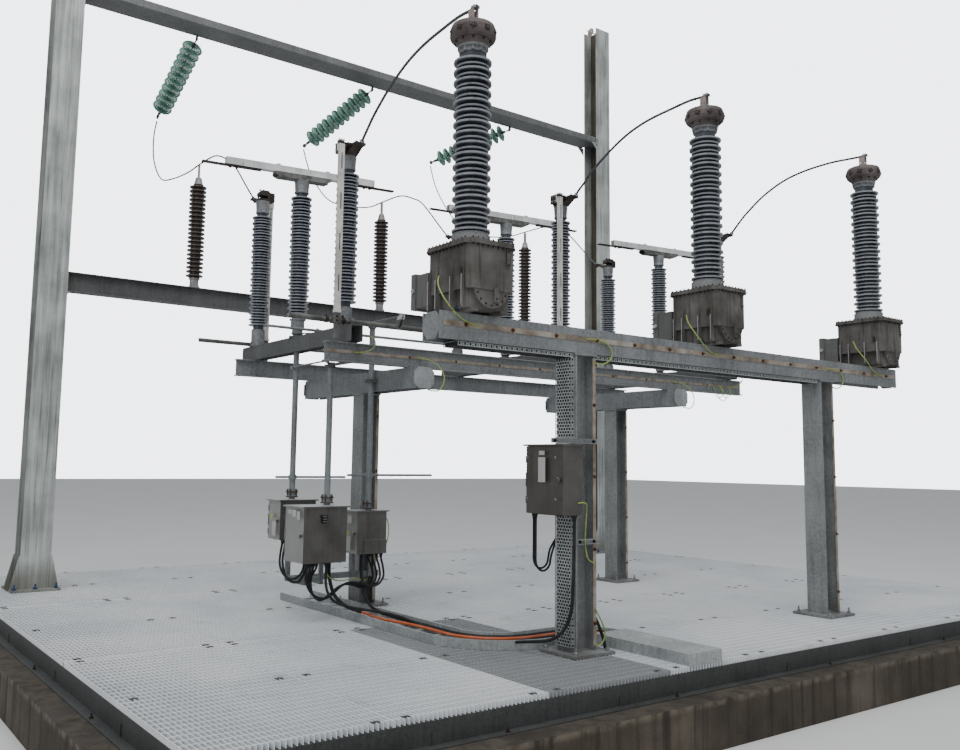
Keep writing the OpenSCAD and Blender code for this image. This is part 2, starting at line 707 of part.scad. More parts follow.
// Earthing drive: crank under the link, so that the link only lifts off it
earth_z = top_z + earth_h;
earth_rest = 220;
earth_pin = [earth_pipe[0], earth_pipe[1], 0] + polar(earth_crank, earth_rest);
link_rise = 107;
link_z = earth_z + link_rise;
module earth_pipe_near() color("#b4babb") translate([earth_pipe[0], earth_pipe[1], 0]) {
    from = deck_z + earth_cab[2] + gear_h + seat;
    top = link_z - 22;
    translate([0, 0, from]) cylinder(r = pipe_r, h = top - from);
    pipe_collar(deck_z + earth_cab[2] + earth_cab_size[2] + 40);
    translate([0, 0, deck_z + lever_h + lever_step]) hand_lever(0, -270, 830);
    translate([0, 0, deck_z + lever_h + lever_step - 25]) cylinder(r = 44, h = 50);
    translate([0, 0, top - crank_t]) crank(earth_rest, earth_crank, 40, crank_t, 46);
}
module earth_link() color("#8b9193") {
    x = earth_pin[0];
    start = shaft_near_y - 90;
    difference() {
        union() {
            translate([x, start, link_z]) rotate([-90, 0, 0]) cylinder(r = 10, h = earth_pin[1] - start);
            translate([x, start, link_z]) rotate([0, 90, 0]) cylinder(r = 20, h = 18, center = true);
        }
        translate([x, start, link_z]) rotate([0, 90, 0])
            cylinder(r = drive_pin_r + running, h = 30, center = true);
    }
    translate([x, earth_pin[1], link_z - 19]) {
        cylinder(r = 22, h = 32);
        translate([0, 0, 30]) cylinder(r = 13, h = 12, $fn = 6);
    }
}

module pipe_guides() color("#7f8688") {
    difference() {
        union() {
            span([motor_pipe[0] - 50, beam_front_y - beam_w / 2, beam_z - 10],
                [motor_pipe[0] + 50, motor_pipe[1] + 50, beam_z]);
            translate([motor_pipe[0], motor_pipe[1], beam_z - 40]) cylinder(r = 50, h = 40);
        }
        translate([motor_pipe[0], motor_pipe[1], beam_z - 50]) cylinder(r = pipe_r + running, h = 60);
    }
    difference() {
        span([earth_pipe[0] - 52, earth_pipe[1] - 50, crossarm_z + 95],
            [frame_post_x[0] - frame_post_w / 2, earth_pipe[1] + 50, crossarm_z + 135]);
        translate([earth_pipe[0], earth_pipe[1], crossarm_z])
            cylinder(r = pipe_r + running, h = crossarm_d);
    }
}

// An earthing switch along X, seen with its blades set off to -Y and the hook back over to +Y
module earth_blade() {
    w = earth_blade_w / 2;
    d = earth_blade_d / 2;
    top = head_z + cradle_h - 2 - finger_gap - earth_z;
    span([-w, -d, -190], [w, d, top]);
    translate([0, earth_offset, 0]) span([-w - 10, -earth_offset - d - 8, -34], [w + 10, earth_r + 8, 34]);
    span([-w - 5, -d - 5, 60], [w + 5, d + 5, 100]);
    span([-w, 14 + finger_gap, top - 60], [w, 14 + finger_gap + 16, top + 2 * finger_gap + 28]);
    span([-w, 0, top - 60], [w, 14 + finger_gap + 5, top]);
    span([-w, -d, top + 2 * finger_gap + 12], [w, 14 + finger_gap + 16, top + 2 * finger_gap + 28]);
}
module earth_shaft(from, to) translate([from, 0, 0]) rotate([0, 90, 0])
    cylinder(r = earth_r, h = to - from);
shaft_long = 3545;
shaft_short = 3360;
module earth_switch_near() color("#e4e2da") translate([0, shaft_near_y, earth_z]) {
    earth_shaft(-shaft_long, shaft_short);
    for (i = [0 : 2]) translate([switch_at(i) - earth_dx, -earth_offset, 0]) earth_blade();
    x = earth_pin[0];
    for (s = [-1, 1]) translate([x + s * 17, 0, 0]) rotate([90, 0, 90]) linear_extrude(12, center = true)
        polygon([[-38, -20], [38, -20], [30, 30], [-72, 124], [-106, 118], [-106, 90]]);
    translate([x - 30, -90, link_rise]) rotate([0, 90, 0]) cylinder(r = drive_pin_r, h = 60);
}
module earth_switch_far() color("#e4e2da") translate([0, shaft_far_y, earth_z]) rotate(180) {
    earth_shaft(-shaft_short, shaft_long);
    for (i = [0 : 2]) translate([-switch_at(i) - earth_dx, -earth_offset, 0]) earth_blade();
}
module earth_shaft_bearings() color("#6f7678") for (i = [0 : 2]) for (y = [shaft_near_y, shaft_far_y])
    translate([switch_at(i), y, top_z]) difference() {
        union() {
            block([0, 0, 0], [56, 96, 16]);
            block([0, 0, 0], [40, 66, earth_h]);
            translate([0, 0, earth_h]) rotate([0, 90, 0]) cylinder(r = 38, h = 40, center = true);
        }
        translate([0, 0, earth_h]) rotate([0, 90, 0])
            cylinder(r = earth_r + running, h = 60, center = true);
        block([0, 0, -50], [100, 200, 50]);
    }

// A sheet box with an open -X side, a roof and a gear unit; at is its low corner above the deck
knuckle_r = 7;
knuckle_h = 60;
module knuckles(size, r, gap) for (z = [size[2] * 0.2, size[2] * 0.8])
    translate([-door_gap - door_t, size[1], z - knuckle_h / 2 - gap])
        cylinder(r = r, h = knuckle_h + 2 * gap);
module hinge_leaf(y, z) translate([0, y, z - knuckle_h / 2]) {
    span([-door_gap - door_t, 0.5, 0], [60, knuckle_r, knuckle_h]);
    span([1, -1, 0], [60, knuckle_r, knuckle_h]);
}
module cabinet(at, size, gear, hole) translate([at[0], at[1], at[2] + deck_z]) {
    difference() {
        union() {
            cube(size);
            span([-roof_over - door_t, -roof_over, size[2]],
                [size[0] + (gear > 0 ? roof_over : 0), size[1] + roof_over, size[2] + 14]);
            for (z = [size[2] * 0.2, size[2] * 0.8])
                hinge_leaf(size[1], z);
        }
        translate([-1, cabinet_t, cabinet_t]) cube(size - [cabinet_t - 1, 2 * cabinet_t, 2 * cabinet_t]);
        if (len(hole) > 0) translate([hole[0] - at[0], hole[1] - at[1], size[2] - 20])
            cylinder(r = pipe_r + 4, h = 60);
    }
    knuckles(size, knuckle_r, 0);
    if (gear > 0) span([hole[0] - at[0] - 75, hole[1] - at[1] - 75, cabinet_t / 2],
        [size[0] - cabinet_t / 2, hole[1] - at[1] + 75, gear]);
}
module cabinet_door(at, size) translate([at[0], at[1], at[2] + deck_z]) {
    difference() {
        union() {
            span([-door_gap - door_t, 0, 3], [-door_gap, size[1], size[2] - 3]);
            translate([-door_gap - door_t, size[1], size[2] / 2 - knuckle_h])
                cylinder(r = knuckle_r, h = 2 * knuckle_h);
        }
        knuckles(size, knuckle_r + 1, 1);
    }
    translate([-door_gap - door_t, 45, size[2] / 2]) rotate([0, -90, 0]) {
        cylinder(r = 12, h = 22);
        translate([0, 0, 18]) cylinder(r = 24, h = 16);
    }
}
module main_cabinet() color("#c3c7c6") cabinet(main_cab, main_cab_size, 2 * gear_h, motor_pipe);
module earth_cabinet() color("#c3c7c6") cabinet(earth_cab, earth_cab_size, gear_h, earth_pipe);
module manual_cabinet() color("#c3c7c6")
    cabinet(manual_cab, manual_cab_size, gear_h, [switch_at(0), switch_y]);
module main_cabinet_door() color("#d2d5d4") cabinet_door(main_cab, main_cab_size);
module earth_cabinet_door() color("#d2d5d4") cabinet_door(earth_cab, earth_cab_size);
module manual_cabinet_door() color("#d2d5d4") cabinet_door(manual_cab, manual_cab_size);

rail_front = frame_post_y - frame_post_w / 2 - 60;
rail_back = frame_post_y - frame_post_w / 2;
module cabinet_supports() color("#8f9698") translate([0, 0, deck_z]) {
    span([-3030, rail_front, 330], [frame_post_x[0] + frame_post_w / 2, rail_back, 390]);
    back = main_cab[1] + main_cab_size[1];
    for (x = [-3010, -2830]) {
        span([x - 20, back, 330], [x + 20, rail_front, 390]);
        span([x - 20, back, 330], [x + 20, back + 40, main_cab[2] + 500]);
    }
    for (x = [-3010, -2750]) span([x - 20, rail_back, 330], [x + 20, manual_cab[1], manual_cab[2] + 370]);
    for (x = [earth_cab[0] + 90, earth_cab[0] + earth_cab_size[0] - 50])
        span([x - 20, earth_cab[1] + earth_cab_size[1], 330], [x + 20, rail_back, earth_cab[2] + 420]);
}

module ct_posts() color("#a3aaac") for (x = ct_post_x) translate([x, ct_y, deck_z]) {
    block([0, 0, 0], [ct_plate, ct_plate, plate_t]);
    translate([0, 0, plate_t]) linear_extrude(ct_beam_h - plate_t - cap_t)
        rotate(90) h_outline(ct_post_w, ct_post_w, 16, 10);
    block([0, 0, ct_beam_h - cap_t], [ct_post_w + 20, ct_post_w + 20, cap_t]);
}

ct_beam_x = -15;
module ct_beam() color("#a7aeb0") translate([ct_beam_x, ct_y, deck_z + ct_beam_h + ct_beam_d / 2]) {
    along_x(ct_beam_l) rotate(90) h_outline(ct_beam_w, ct_beam_d, 14, 10);
    for (s = [-1, 1]) translate([s * (ct_beam_l - end_t) / 2, 0, 0])
        along_x(end_t) cut_corner_plate(ct_beam_w - 20, ct_beam_d, 60);
}

rail_h = 25;
body_h = 150;
barrel_r = 172;
terminal_box = [302, 240, 281];
module ct_tank() {
    wall = tank[0] / 2;
    front = -tank[1] / 2;
    for (s = [-1, 1]) block([s * 150, 0, 0], [70, tank[1] - 60, rail_h]);
    block([0, 0, rail_h], [tank[0] - 70, tank[1] - 90, body_h]);
    translate([0, 0, rail_h + body_h]) linear_extrude(tank[2] - rail_h - body_h + 10)
        cut_corner_plate(tank[0], tank[1], 45);
    translate([0, 0, rail_h + tank[2] - 16]) linear_extrude(16) cut_corner_plate(lid[0], lid[1], 60);
    translate([0, 0, rail_h + tank[2]]) linear_extrude(lid[2]) cut_corner_plate(lid[0] - 8, lid[1] - 8, 60);
    translate([0, 0, rail_h + tank[2] + lid[2]]) {
        cylinder(r = ct_core_r + 56, h = collar_h - 20);
        cylinder(r = ct_core_r + 42, h = collar_h);
    }
    translate([0, front + 70, rail_h + barrel_r + 6]) rotate([90, 0, 0]) cylinder(r = barrel_r, h = 62);
    block([36, front - 2, 80], [44, 24, 120]);
    translate([wall - 80, front - 12, rail_h + 350]) block([0, 6, 0], [32, 16, 150]);
    for (y = [-235, -82, 120, 226]) translate([0, y, 0]) along_y(10) polygon([
        [-wall + 50, rail_h], [-wall - 32, rail_h], [-wall - 32, 190], [-wall + 2, 420],
        [-wall + 50, 420]]);
    translate([-222, -front - 10, 100]) {
        cube(terminal_box);
        translate([-12, terminal_box[1] - 65, -12]) cube([terminal_box[0] + 24, 65, terminal_box[2] + 24]);
    }
}
module ct_tanks() color("#8d857c") for (i = [0 : 2]) translate([phase(i), ct_y, ct_z]) ct_tank();

ct_shed_z = ct_z + rail_h + tank[2] + lid[2] + collar_h;
ct_shed_h = ct_pairs * ct_pitch;
module ct_insulators() color("#6f7984") for (i = [0 : 2]) translate([phase(i), ct_y, ct_shed_z])
    rotate_extrude() polygon([
        [0, 0], [ct_core_r, 0],
        for (k = [0 : ct_pairs - 1]) let (z = k * ct_pitch) each [
            [ct_core_r, z + 4], [ct_shed_r, z + 12], [ct_shed_r, z + 28], [ct_core_r, z + 44],
            if (k < ct_pairs - 1) each [
                [ct_core_r, z + 52], [ct_small_r, z + 60], [ct_small_r, z + 74], [ct_core_r, z + 86]]],
        [ct_core_r, ct_shed_h + 6], [0, ct_shed_h + 6]]);
ct_head_z = ct_shed_z + ct_shed_h + 6;
bulb = 275;
module ct_heads() color("#8b8784") for (i = [0 : 2]) translate([phase(i), ct_y, ct_head_z]) {
    rotate_extrude() polygon([
        [0, 0], [112, 0], [112, 36], [130, 42], [130, 60], [150, 110], [166, 110], [188, 130], [195, 160],
        [195, 205], [180, 245], [140, 262], [60, bulb], [0, bulb]]);
    difference() {
        for (s = [-1, 1]) span([s * 22 - 7, -35, bulb - 20], [s * 22 + 7, 35, ct_head_h]);
        for (z = [18, 50]) for (y = [-18, 18])
            translate([0, y, bulb + z]) rotate([0, 90, 0]) cylinder(r = 7, h = 80, center = true);
    }
}

jumper_r = 14;
jumper_mid = [
    [[-2882, -1620, 5555], [-2890, -1740, 5640], [-2905, -2010, 5790], [-2925, -2340, 5920],
        [-2945, -2680, 5988], [-2968, -3060, 6008]],
    [[118, -1620, 5548], [111, -1740, 5638], [95, -2010, 5780], [75, -2340, 5912],
        [55, -2680, 5980], [32, -3060, 5998]],
    [[3118, -1620, 5575], [3111, -1740, 5668], [3095, -2010, 5834], [3075, -2340, 5962],
        [3055, -2680, 6016], [3030, -3060, 6020]]];
module jumper(i) color("#6e7173") {
    end = [phase(i), ct_y - 60, ct_head_z + ct_head_h + jumper_r + 2];
    tube(curve([conductor_end(i, near_y, -1), conductor_end(i, near_y, -1, 50), each jumper_mid[i],
        end + [0, 260, 12], end + [0, 90, 0], end], 4), jumper_r, [1, 0, 0], 8);
}
module jumper_a() jumper(0);
module jumper_b() jumper(1);
module jumper_c() jumper(2);

// Wiring on the near post of the current transformers
box_size = [205, 470, 580];
box_at = [ct_post_x[0] - ct_post_w / 2 - box_size[0], ct_y - 200, 1168];
module junction_box() color("#b9bebd") cabinet(box_at, box_size, 0, []);
module junction_box_door() color("#c9cccb") cabinet_door(box_at, box_size);

tray_w = 200;
tray_d = 40;
tray_t = 3;
tray_start = -3190;
module riser_tray() color("#9aa2a4") {
    x = ct_post_x[0] - ct_post_w / 2;
    w = tray_w / 2;
    low = deck_z + plate_t + 40;
    gap_low = deck_z + box_at[2] - 4;
    gap_high = deck_z + box_at[2] + box_size[2] + 20;
    high = deck_z + ct_beam_h - tray_d;
    for (z = [[low, gap_low], [gap_high, high]]) difference() {
        span([x - tray_d, ct_y - w, z[0]], [x, ct_y + w, z[1]]);
        span([x - tray_d - 1, ct_y - w + tray_t, z[0] - 1], [x - tray_t, ct_y + w - tray_t, z[1] + 1]);
    }
    difference() {
        span([tray_start, ct_y - w, high], [x - 12, ct_y + w, deck_z + ct_beam_h]);
        span([tray_start - 1, ct_y - w + tray_t, high - 1],
            [x, ct_y + w - tray_t, deck_z + ct_beam_h - tray_t]);
    }
}

// Cable ladder and covered tray on the deck
ladder_w = 400;
ladder_h = 80;
ladder_x = -2470;
ladder_back = 515;
ladder_turn = [ladder_x + 600, -2435];
ladder_turn_r = 600;
ladder_run_y = ladder_turn[1] - ladder_turn_r;
exit_r = 300;
exit_x = -1240;
exit_turn = [exit_x - exit_r, ladder_run_y - exit_r];
rung_z = 20;
rung_t = 16;
module ladder_rail(s) {
    r = ladder_w / 2 - 10;
    span([ladder_x + s * r - 10, ladder_turn[1], 0], [ladder_x + s * r + 10, ladder_back, ladder_h]);
    translate(ladder_turn) rotate(180) rotate_extrude(angle = 90)
        translate([ladder_turn_r - s * r - 10, 0]) square([20, ladder_h]);
    span([ladder_turn[0], ladder_run_y + s * r - 10, 0],
        [exit_turn[0], ladder_run_y + s * r + 10, ladder_h]);
    translate(exit_turn) rotate_extrude(angle = 90)
        translate([exit_r + s * r - 10, 0]) square([20, ladder_h]);
}
module cable_ladder() color("#b3babb") translate([0, 0, deck_z]) {
    for (s = [-1, 1]) ladder_rail(s);
    for (y = [ladder_turn[1] + 60 : 290 : ladder_back - 40])
        block([ladder_x, y, rung_z], [ladder_w - 30, 30, rung_t]);
    for (x = [ladder_turn[0] + 60, exit_turn[0] - 60])
        block([x, ladder_run_y, rung_z], [30, ladder_w - 30, rung_t]);
    for (a = [30, 60]) translate(ladder_turn) rotate(180 + a)
        block([ladder_turn_r, 0, rung_z], [ladder_w - 30, 30, rung_t]);
    translate(exit_turn) rotate(45) block([exit_r, 0, rung_z], [ladder_w - 30, 30, rung_t]);
}

cover_h = 96;
cover_end = -deck_w / 2 + 5;
cover_mid = ladder_w / 2 + 2;
module cable_tray_cover() color("#a4abad") difference() {
    span([exit_x - cover_mid - 4, cover_end, deck_z],
        [exit_x + cover_mid + 4, exit_turn[1] - 4, deck_z + cover_h]);
    span([exit_x - cover_mid, cover_end + 4, deck_z - 1],
        [exit_x + cover_mid, exit_turn[1], deck_z + cover_h - 4]);
}

// A cable from its gland under a box over the ladder's rail, then along the rungs into the covered tray
function ladder_route(side, r) = let (z = deck_z + rung_z + rung_t + r + 1) [
    [ladder_x + side, -2100, z],
    for (a = [180 : 15 : 270]) [ladder_turn[0] + (ladder_turn_r - side) * cos(a),
        ladder_turn[1] + (ladder_turn_r - side) * sin(a), z],
    for (a = [90 : -22.5 : 0]) [exit_turn[0] + (exit_r + side) * cos(a),
        exit_turn[1] + (exit_r + side) * sin(a), z],
    [exit_x + side, cover_end + 8, z]];
orange_r = 14;
black_r = 16;
function gland(cab, x, y) = [cab[0] + x, cab[1] + y, deck_z + cab[2] - end_gap];
orange_from = gland(main_cab, 380, 200);
black_from = gland(earth_cab, 80, 65);
module cable_orange() color("#c8501e") tube(curve([
    orange_from, orange_from - [0, 0, 45], orange_from - [0, 0, 90],
    [-2856, -1008, 980], [-2830, -1060, 840], [-2765, -1170, 740], [-2660, -1330, 688],
    [-2550, -1550, 642], [-2460, -1820, 632],
    each ladder_route(40, orange_r)], 2), orange_r, [1, 0.8, -0.6], 8);
module cable_black() color("#24262a") tube(curve([
    black_from, black_from - [0, 0, 45], black_from - [0, 0, 90],
    [-2284, -655, 980], [-2296, -710, 850], [-2318, -820, 735], [-2340, -990, 664],
    [-2354, -1230, 637], [-2360, -1600, 633],
    each ladder_route(110, black_r)], 2), black_r, [1, 0.8, -0.6], 8);

plinth();
deck_frame();
deck_grating();
gantry_column_left();
gantry_column_right();
gantry_top_beam();
gantry_lower_beam();
shield_wire_insulator();
strain_strings();
surge_arresters();
dropper_a();
dropper_b();
dropper_c();
disconnector_posts();
crossarms();
disconnector_beams();
switch_bases();
contact_posts();
contact_jaws();
rotor_bearings();
earth_shaft_bearings();
pipe_guides();
rotor_a();
rotor_b();
rotor_c();
main_blade_a();
main_blade_b();
main_blade_c();
gang_rod();
drive_pipe_main();
motor_pipe();
motor_link();
earth_switch_near();
earth_switch_far();
earth_pipe_near();
earth_link();
cabinet_supports();
main_cabinet();
earth_cabinet();
manual_cabinet();
main_cabinet_door();
earth_cabinet_door();
manual_cabinet_door();
ct_posts();
ct_beam();
ct_tanks();
ct_insulators();
ct_heads();
jumper_a();
jumper_b();
jumper_c();
junction_box();
junction_box_door();
riser_tray();
cable_ladder();
cable_tray_cover();
cable_orange();
cable_black();
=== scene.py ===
"""Looks of an outdoor switchgear bay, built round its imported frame.

Everything is in metres in the frame's own axes: X along the phases, Y to the gantry, Z up.
"""

import random
from functools import partialmethod
from itertools import product
from math import cos, pi, radians, sin, tau

import bmesh
import bpy
from mathutils import Matrix, Vector


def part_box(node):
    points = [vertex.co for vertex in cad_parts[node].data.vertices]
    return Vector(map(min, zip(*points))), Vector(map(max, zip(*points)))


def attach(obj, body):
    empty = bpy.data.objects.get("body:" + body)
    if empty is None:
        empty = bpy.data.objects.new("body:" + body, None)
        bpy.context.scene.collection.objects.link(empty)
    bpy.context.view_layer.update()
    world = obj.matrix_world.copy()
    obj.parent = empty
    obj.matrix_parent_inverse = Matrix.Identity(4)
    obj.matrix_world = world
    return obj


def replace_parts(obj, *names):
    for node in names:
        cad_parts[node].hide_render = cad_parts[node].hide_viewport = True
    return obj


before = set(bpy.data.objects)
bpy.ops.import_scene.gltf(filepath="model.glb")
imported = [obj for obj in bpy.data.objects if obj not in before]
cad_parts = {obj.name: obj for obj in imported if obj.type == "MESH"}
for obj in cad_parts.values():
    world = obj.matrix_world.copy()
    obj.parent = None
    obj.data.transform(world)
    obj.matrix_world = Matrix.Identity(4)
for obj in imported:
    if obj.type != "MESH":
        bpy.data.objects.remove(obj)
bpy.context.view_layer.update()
dice = random.Random(7)

UP, DOWN, FRONT = (0, 0, 1), (0, 0, -1), (0, -1, 0)

# Levels and places, from the frame
PLINTH_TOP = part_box("deck_frame")[0].z
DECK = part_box("deck_grating")[1].z
BASE_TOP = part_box("switch_bases")[1].z
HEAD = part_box("contact_posts")[1].z
PHASE = 3.0
PHASES = (-3.0, 0.0, 3.0)
SWITCHES = (-2.87, 0.13, 3.13)
TURN_Y, NEAR_Y, FAR_Y = -0.115, -1.185, 0.955
CT_Y = -3.515
GANTRY_Y = 2.865
ARRESTER_Y = GANTRY_Y + 0.02
COLUMNS = (-4.855, 4.785)
FRAME_POSTS = (-2.05, 2.01)
FRAME_POST_Y = -0.275
CT_POSTS = (-1.82, 1.87)


def pair(reach):
    """Two offsets, to either side."""
    return (-reach, reach)


def ring(x, y, radius, count, turn=0.5):
    """Points spaced evenly round a circle."""
    angles = [tau * (k + turn) / count for k in range(count)]
    return [(x + radius * cos(a), y + radius * sin(a)) for a in angles]


def place(name, data):
    made = bpy.data.objects.new(name, data)
    bpy.context.scene.collection.objects.link(made)
    return made


class Shape:
    """A mesh in the making, gathered from simple forms."""

    def __init__(self):
        self.points = []
        self.faces = []

    def add(self, points, faces):
        base = len(self.points)
        self.points.extend(tuple(p) for p in points)
        self.faces.extend([base + i for i in face] for face in faces)
        return self

    def skin(self, points, sides):
        """Walls from ring to ring of points, and a cap on the first and the last ring."""
        last = len(points) - sides
        walls = []
        for row, k in product(range(0, last, sides), range(sides)):
            a, b = row + k, row + (k + 1) % sides
            walls.append((a, b, b + sides, a + sides))
        return self.add(points, [*walls, tuple(reversed(range(sides))), tuple(range(last, last + sides))])

    def plate(self, outline, front, back):
        """An outline of (x, z) points made solid from y front to y back."""
        return self.skin([(x, y, z) for y in (front, back) for x, z in outline], len(outline))

    def box(self, low, high):
        (a, b, c), (d, e, f) = low, high
        return self.skin([(x, y, z) for z in (c, f) for x, y in ((a, b), (d, b), (d, e), (a, e))], 4)

    def block(self, middle, size):
        low = [m - s / 2 for m, s in zip(middle, size)]
        high = [m + s / 2 for m, s in zip(middle, size)]
        return self.box(low, high)

    def lathe(self, profile, at, axis=UP, sides=16, turn=0.0):
        """A solid of revolution: profile holds (radius, height) pairs along axis from at."""
        to_axis = Vector(UP).rotation_difference(Vector(axis)).to_matrix()
        return self.skin([Vector(at) + to_axis @ Vector((*point, height)) for radius, height in profile
                          for point in ring(0, 0, radius, sides, turn)], sides)

    def disc(self, at, radius, height, axis=UP, sides=16):
        edge = min(0.12 * radius, 0.3 * height)
        profile = [(radius, 0), (radius, height - edge), (radius - edge, height)]
        return self.lathe(profile, at, axis, sides)

    def bolt(self, at, axis, radius=0.012, stud=0.014):
        """A washer, a hexagon nut and the stud's end, standing on a face."""
        up = Vector(axis).normalized()
        self.lathe([(1.55 * radius, 0), (1.55 * radius, 0.2 * radius)], at, up, 12)
        nut = [(radius, 0.2 * radius), (radius, 1.1 * radius), (0.88 * radius, 1.25 * radius)]
        self.lathe(nut, at, up, 6, dice.random())
        self.lathe([(0.5 * radius, radius), (0.5 * radius, 1.25 * radius + stud)], at, up, 8)

    def bolts(self, at, axis, radius, stud, *spread):
        """Bolts at each combination of the x, y and z offsets in spread."""
        for offsets in product(*spread, *[(0,)] * (3 - len(spread))):
            self.bolt([a + b for a, b in zip(at, offsets)], axis, radius, stud)

    def tube(self, path, radius, sides=8):
        """A round tube along points, with closed ends."""
        path = [Vector(p) for p in path]
        points, side = [], None
        for i, p in enumerate(path):
            ahead = (path[min(i + 1, len(path) - 1)] - path[max(i - 1, 0)]).normalized()
            if side is None:
                side = ahead.orthogonal().normalized()
            side = (side - ahead * side.dot(ahead)).normalized()
            other = ahead.cross(side)
            points.extend(p + radius * (x * side + y * other) for x, y in ring(0, 0, 1, sides, 0))
        return self.skin(points, sides)

    def piece(self, name, finish, body="structure", smooth=False):
        mesh = bpy.data.meshes.new(name)
        mesh.from_pydata(self.points, [], self.faces)
        mesh.validate()
        mesh.materials.append(finish)
        work = bmesh.new()
        work.from_mesh(mesh)
        bmesh.ops.recalc_face_normals(work, faces=work.faces)
        work.to_mesh(mesh)
        work.free()
        if smooth:
            mesh.polygons.foreach_set("use_smooth", [True] * len(mesh.polygons))
            mesh.set_sharp_from_angle(angle=radians(40))
        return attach(place(name, mesh), body)


def curve_through(points, steps=6):
    """A smooth line through given points."""
    p = [Vector(q) for q in points]
    line = []
    for i in range(len(p) - 1):
        a, b, c, d = p[max(i - 1, 0)], p[i], p[i + 1], p[min(i + 2, len(p) - 1)]
        for k in range(steps):
            t = k / steps
            line.append(0.5 * (2 * b + (c - a) * t + (2 * a - 5 * b + 4 * c - d) * t * t
                               + (3 * b - a - 3 * c + d) * t ** 3))
    line.append(p[-1])
    return line


# Shader values

class Signal:
    """A shader socket on which Python's operators add Math nodes."""

    def __init__(self, finish, socket):
        self.finish = finish
        self.socket = socket

    def math(self, operation, *others):
        return self.finish.node("ShaderNodeMath", {"operation": operation}, dict(enumerate((self, *others))))

    __add__ = __radd__ = partialmethod(math, "ADD")
    __sub__ = partialmethod(math, "SUBTRACT")
    __mul__ = __rmul__ = partialmethod(math, "MULTIPLY")
    __pow__ = partialmethod(math, "POWER")
    __gt__ = partialmethod(math, "GREATER_THAN")
    __lt__ = partialmethod(math, "LESS_THAN")
    __abs__ = partialmethod(math, "ABSOLUTE")
    both = partialmethod(math, "MINIMUM")
    either = partialmethod(math, "MAXIMUM")

    def __rsub__(self, other):
        return self.finish.node("ShaderNodeMath", {"operation": "SUBTRACT"}, {0: other, 1: self})

    def step(self, low, high):
        """0 below low, 1 above high and smooth between."""
        settings = {"interpolation_type": "SMOOTHSTEP"}
        return self.finish.node("ShaderNodeMapRange", settings, {0: self, 1: low, 2: high})

    def wrapped(self, pitch, start):
        """Distance from the nearest of the places start, start + pitch and so on."""
        return (self - start).math("WRAP", pitch / 2, -pitch / 2)


def reach_of(dx, dy):
    return (dx * dx + dy * dy) ** 0.5


class Finish:
    """A procedural material; plain values go on the shader's own sockets."""

    def __init__(self, name, **plain):
        self.material = bpy.data.materials.new(name)
        self.material.use_nodes = True
        self.tree = self.material.node_tree
        self.shader = self.tree.nodes["Principled BSDF"]
        for socket, value in plain.items():
            self.shader.inputs[socket.replace("_", " ")].default_value = value
        self.place = self.node("ShaderNodeTexCoord", {}, {}, "Object")
        self.x, self.y, self.z = self.split(self.place)
        self.nx, _, self.nz = self.split(self.node("ShaderNodeNewGeometry", {}, {}, "Normal"))

    def node(self, kind, settings, inputs, output=0):
        made = self.tree.nodes.new(kind)
        for name, value in settings.items():
            setattr(made, name, value)
        for socket, value in inputs.items():
            if isinstance(value, Signal):
                self.tree.links.new(value.socket, made.inputs[socket])
            else:
                made.inputs[socket].default_value = value
        return Signal(self, made.outputs[output])

    def split(self, vector):
        parts = self.node("ShaderNodeSeparateXYZ", {}, {0: vector}).socket.node
        return [Signal(self, part) for part in parts.outputs]

    def ramp(self, signal, *stops):
        made = self.node("ShaderNodeValToRGB", {}, {0: signal})
        elements = made.socket.node.color_ramp.elements
        while len(elements) < len(stops):
            elements.new(0.5)
        for element, (position, colour) in zip(elements, stops):
            element.position = position
            element.color = (*colour, 1)
        return made

    def noise(self, scale, detail=4.0, stretch=(1, 1, 1), shift=0.0):
        at = self.place
        if stretch != (1, 1, 1) or shift:
            at = self.node("ShaderNodeMapping", {}, {0: at, 1: (shift, shift, shift), 3: stretch})
        return self.node("ShaderNodeTexNoise", {}, {"Vector": at, "Scale": scale, "Detail": detail,
                                                    "Roughness": 0.55})

    def spangle(self, scale):
        """A flat grey for each crystal of the zinc."""
        cells = self.node("ShaderNodeTexVoronoi", {"feature": "F1"}, {"Vector": self.place, "Scale": scale},
                          "Color")
        return self.node("ShaderNodeRGBToBW", {}, {0: cells})

    def bands(self, scale, distortion):
        return self.node("ShaderNodeTexWave", {"wave_type": "BANDS", "bands_direction": "DIAGONAL"},
                         {"Scale": scale, "Distortion": distortion}, "Fac")

    def mix(self, low, high, factor):
        """Colour low where factor is 0 and high where it is 1."""
        low, high = (c if isinstance(c, Signal) else (*c, 1) for c in (low, high))
        return self.node("ShaderNodeMix", {"data_type": "RGBA"}, {0: factor, 6: low, 7: high}, 2)

    def blend(self, dark, pale, signal):
        return self.mix(dark, pale, signal.step(0.3, 0.7))

    def bump(self, height, strength, distance):
        return self.node("ShaderNodeBump", {}, {"Height": height, "Strength": strength, "Distance": distance})

    def grain(self, scale, detail, strength, distance):
        return self.bump(self.noise(scale, detail), strength, distance)

    def feed(self, colour, **sockets):
        for socket, value in {"Base_Color": colour, **sockets}.items():
            self.tree.links.new(value.socket, self.shader.inputs[socket.replace("_", " ")])
        return self.material


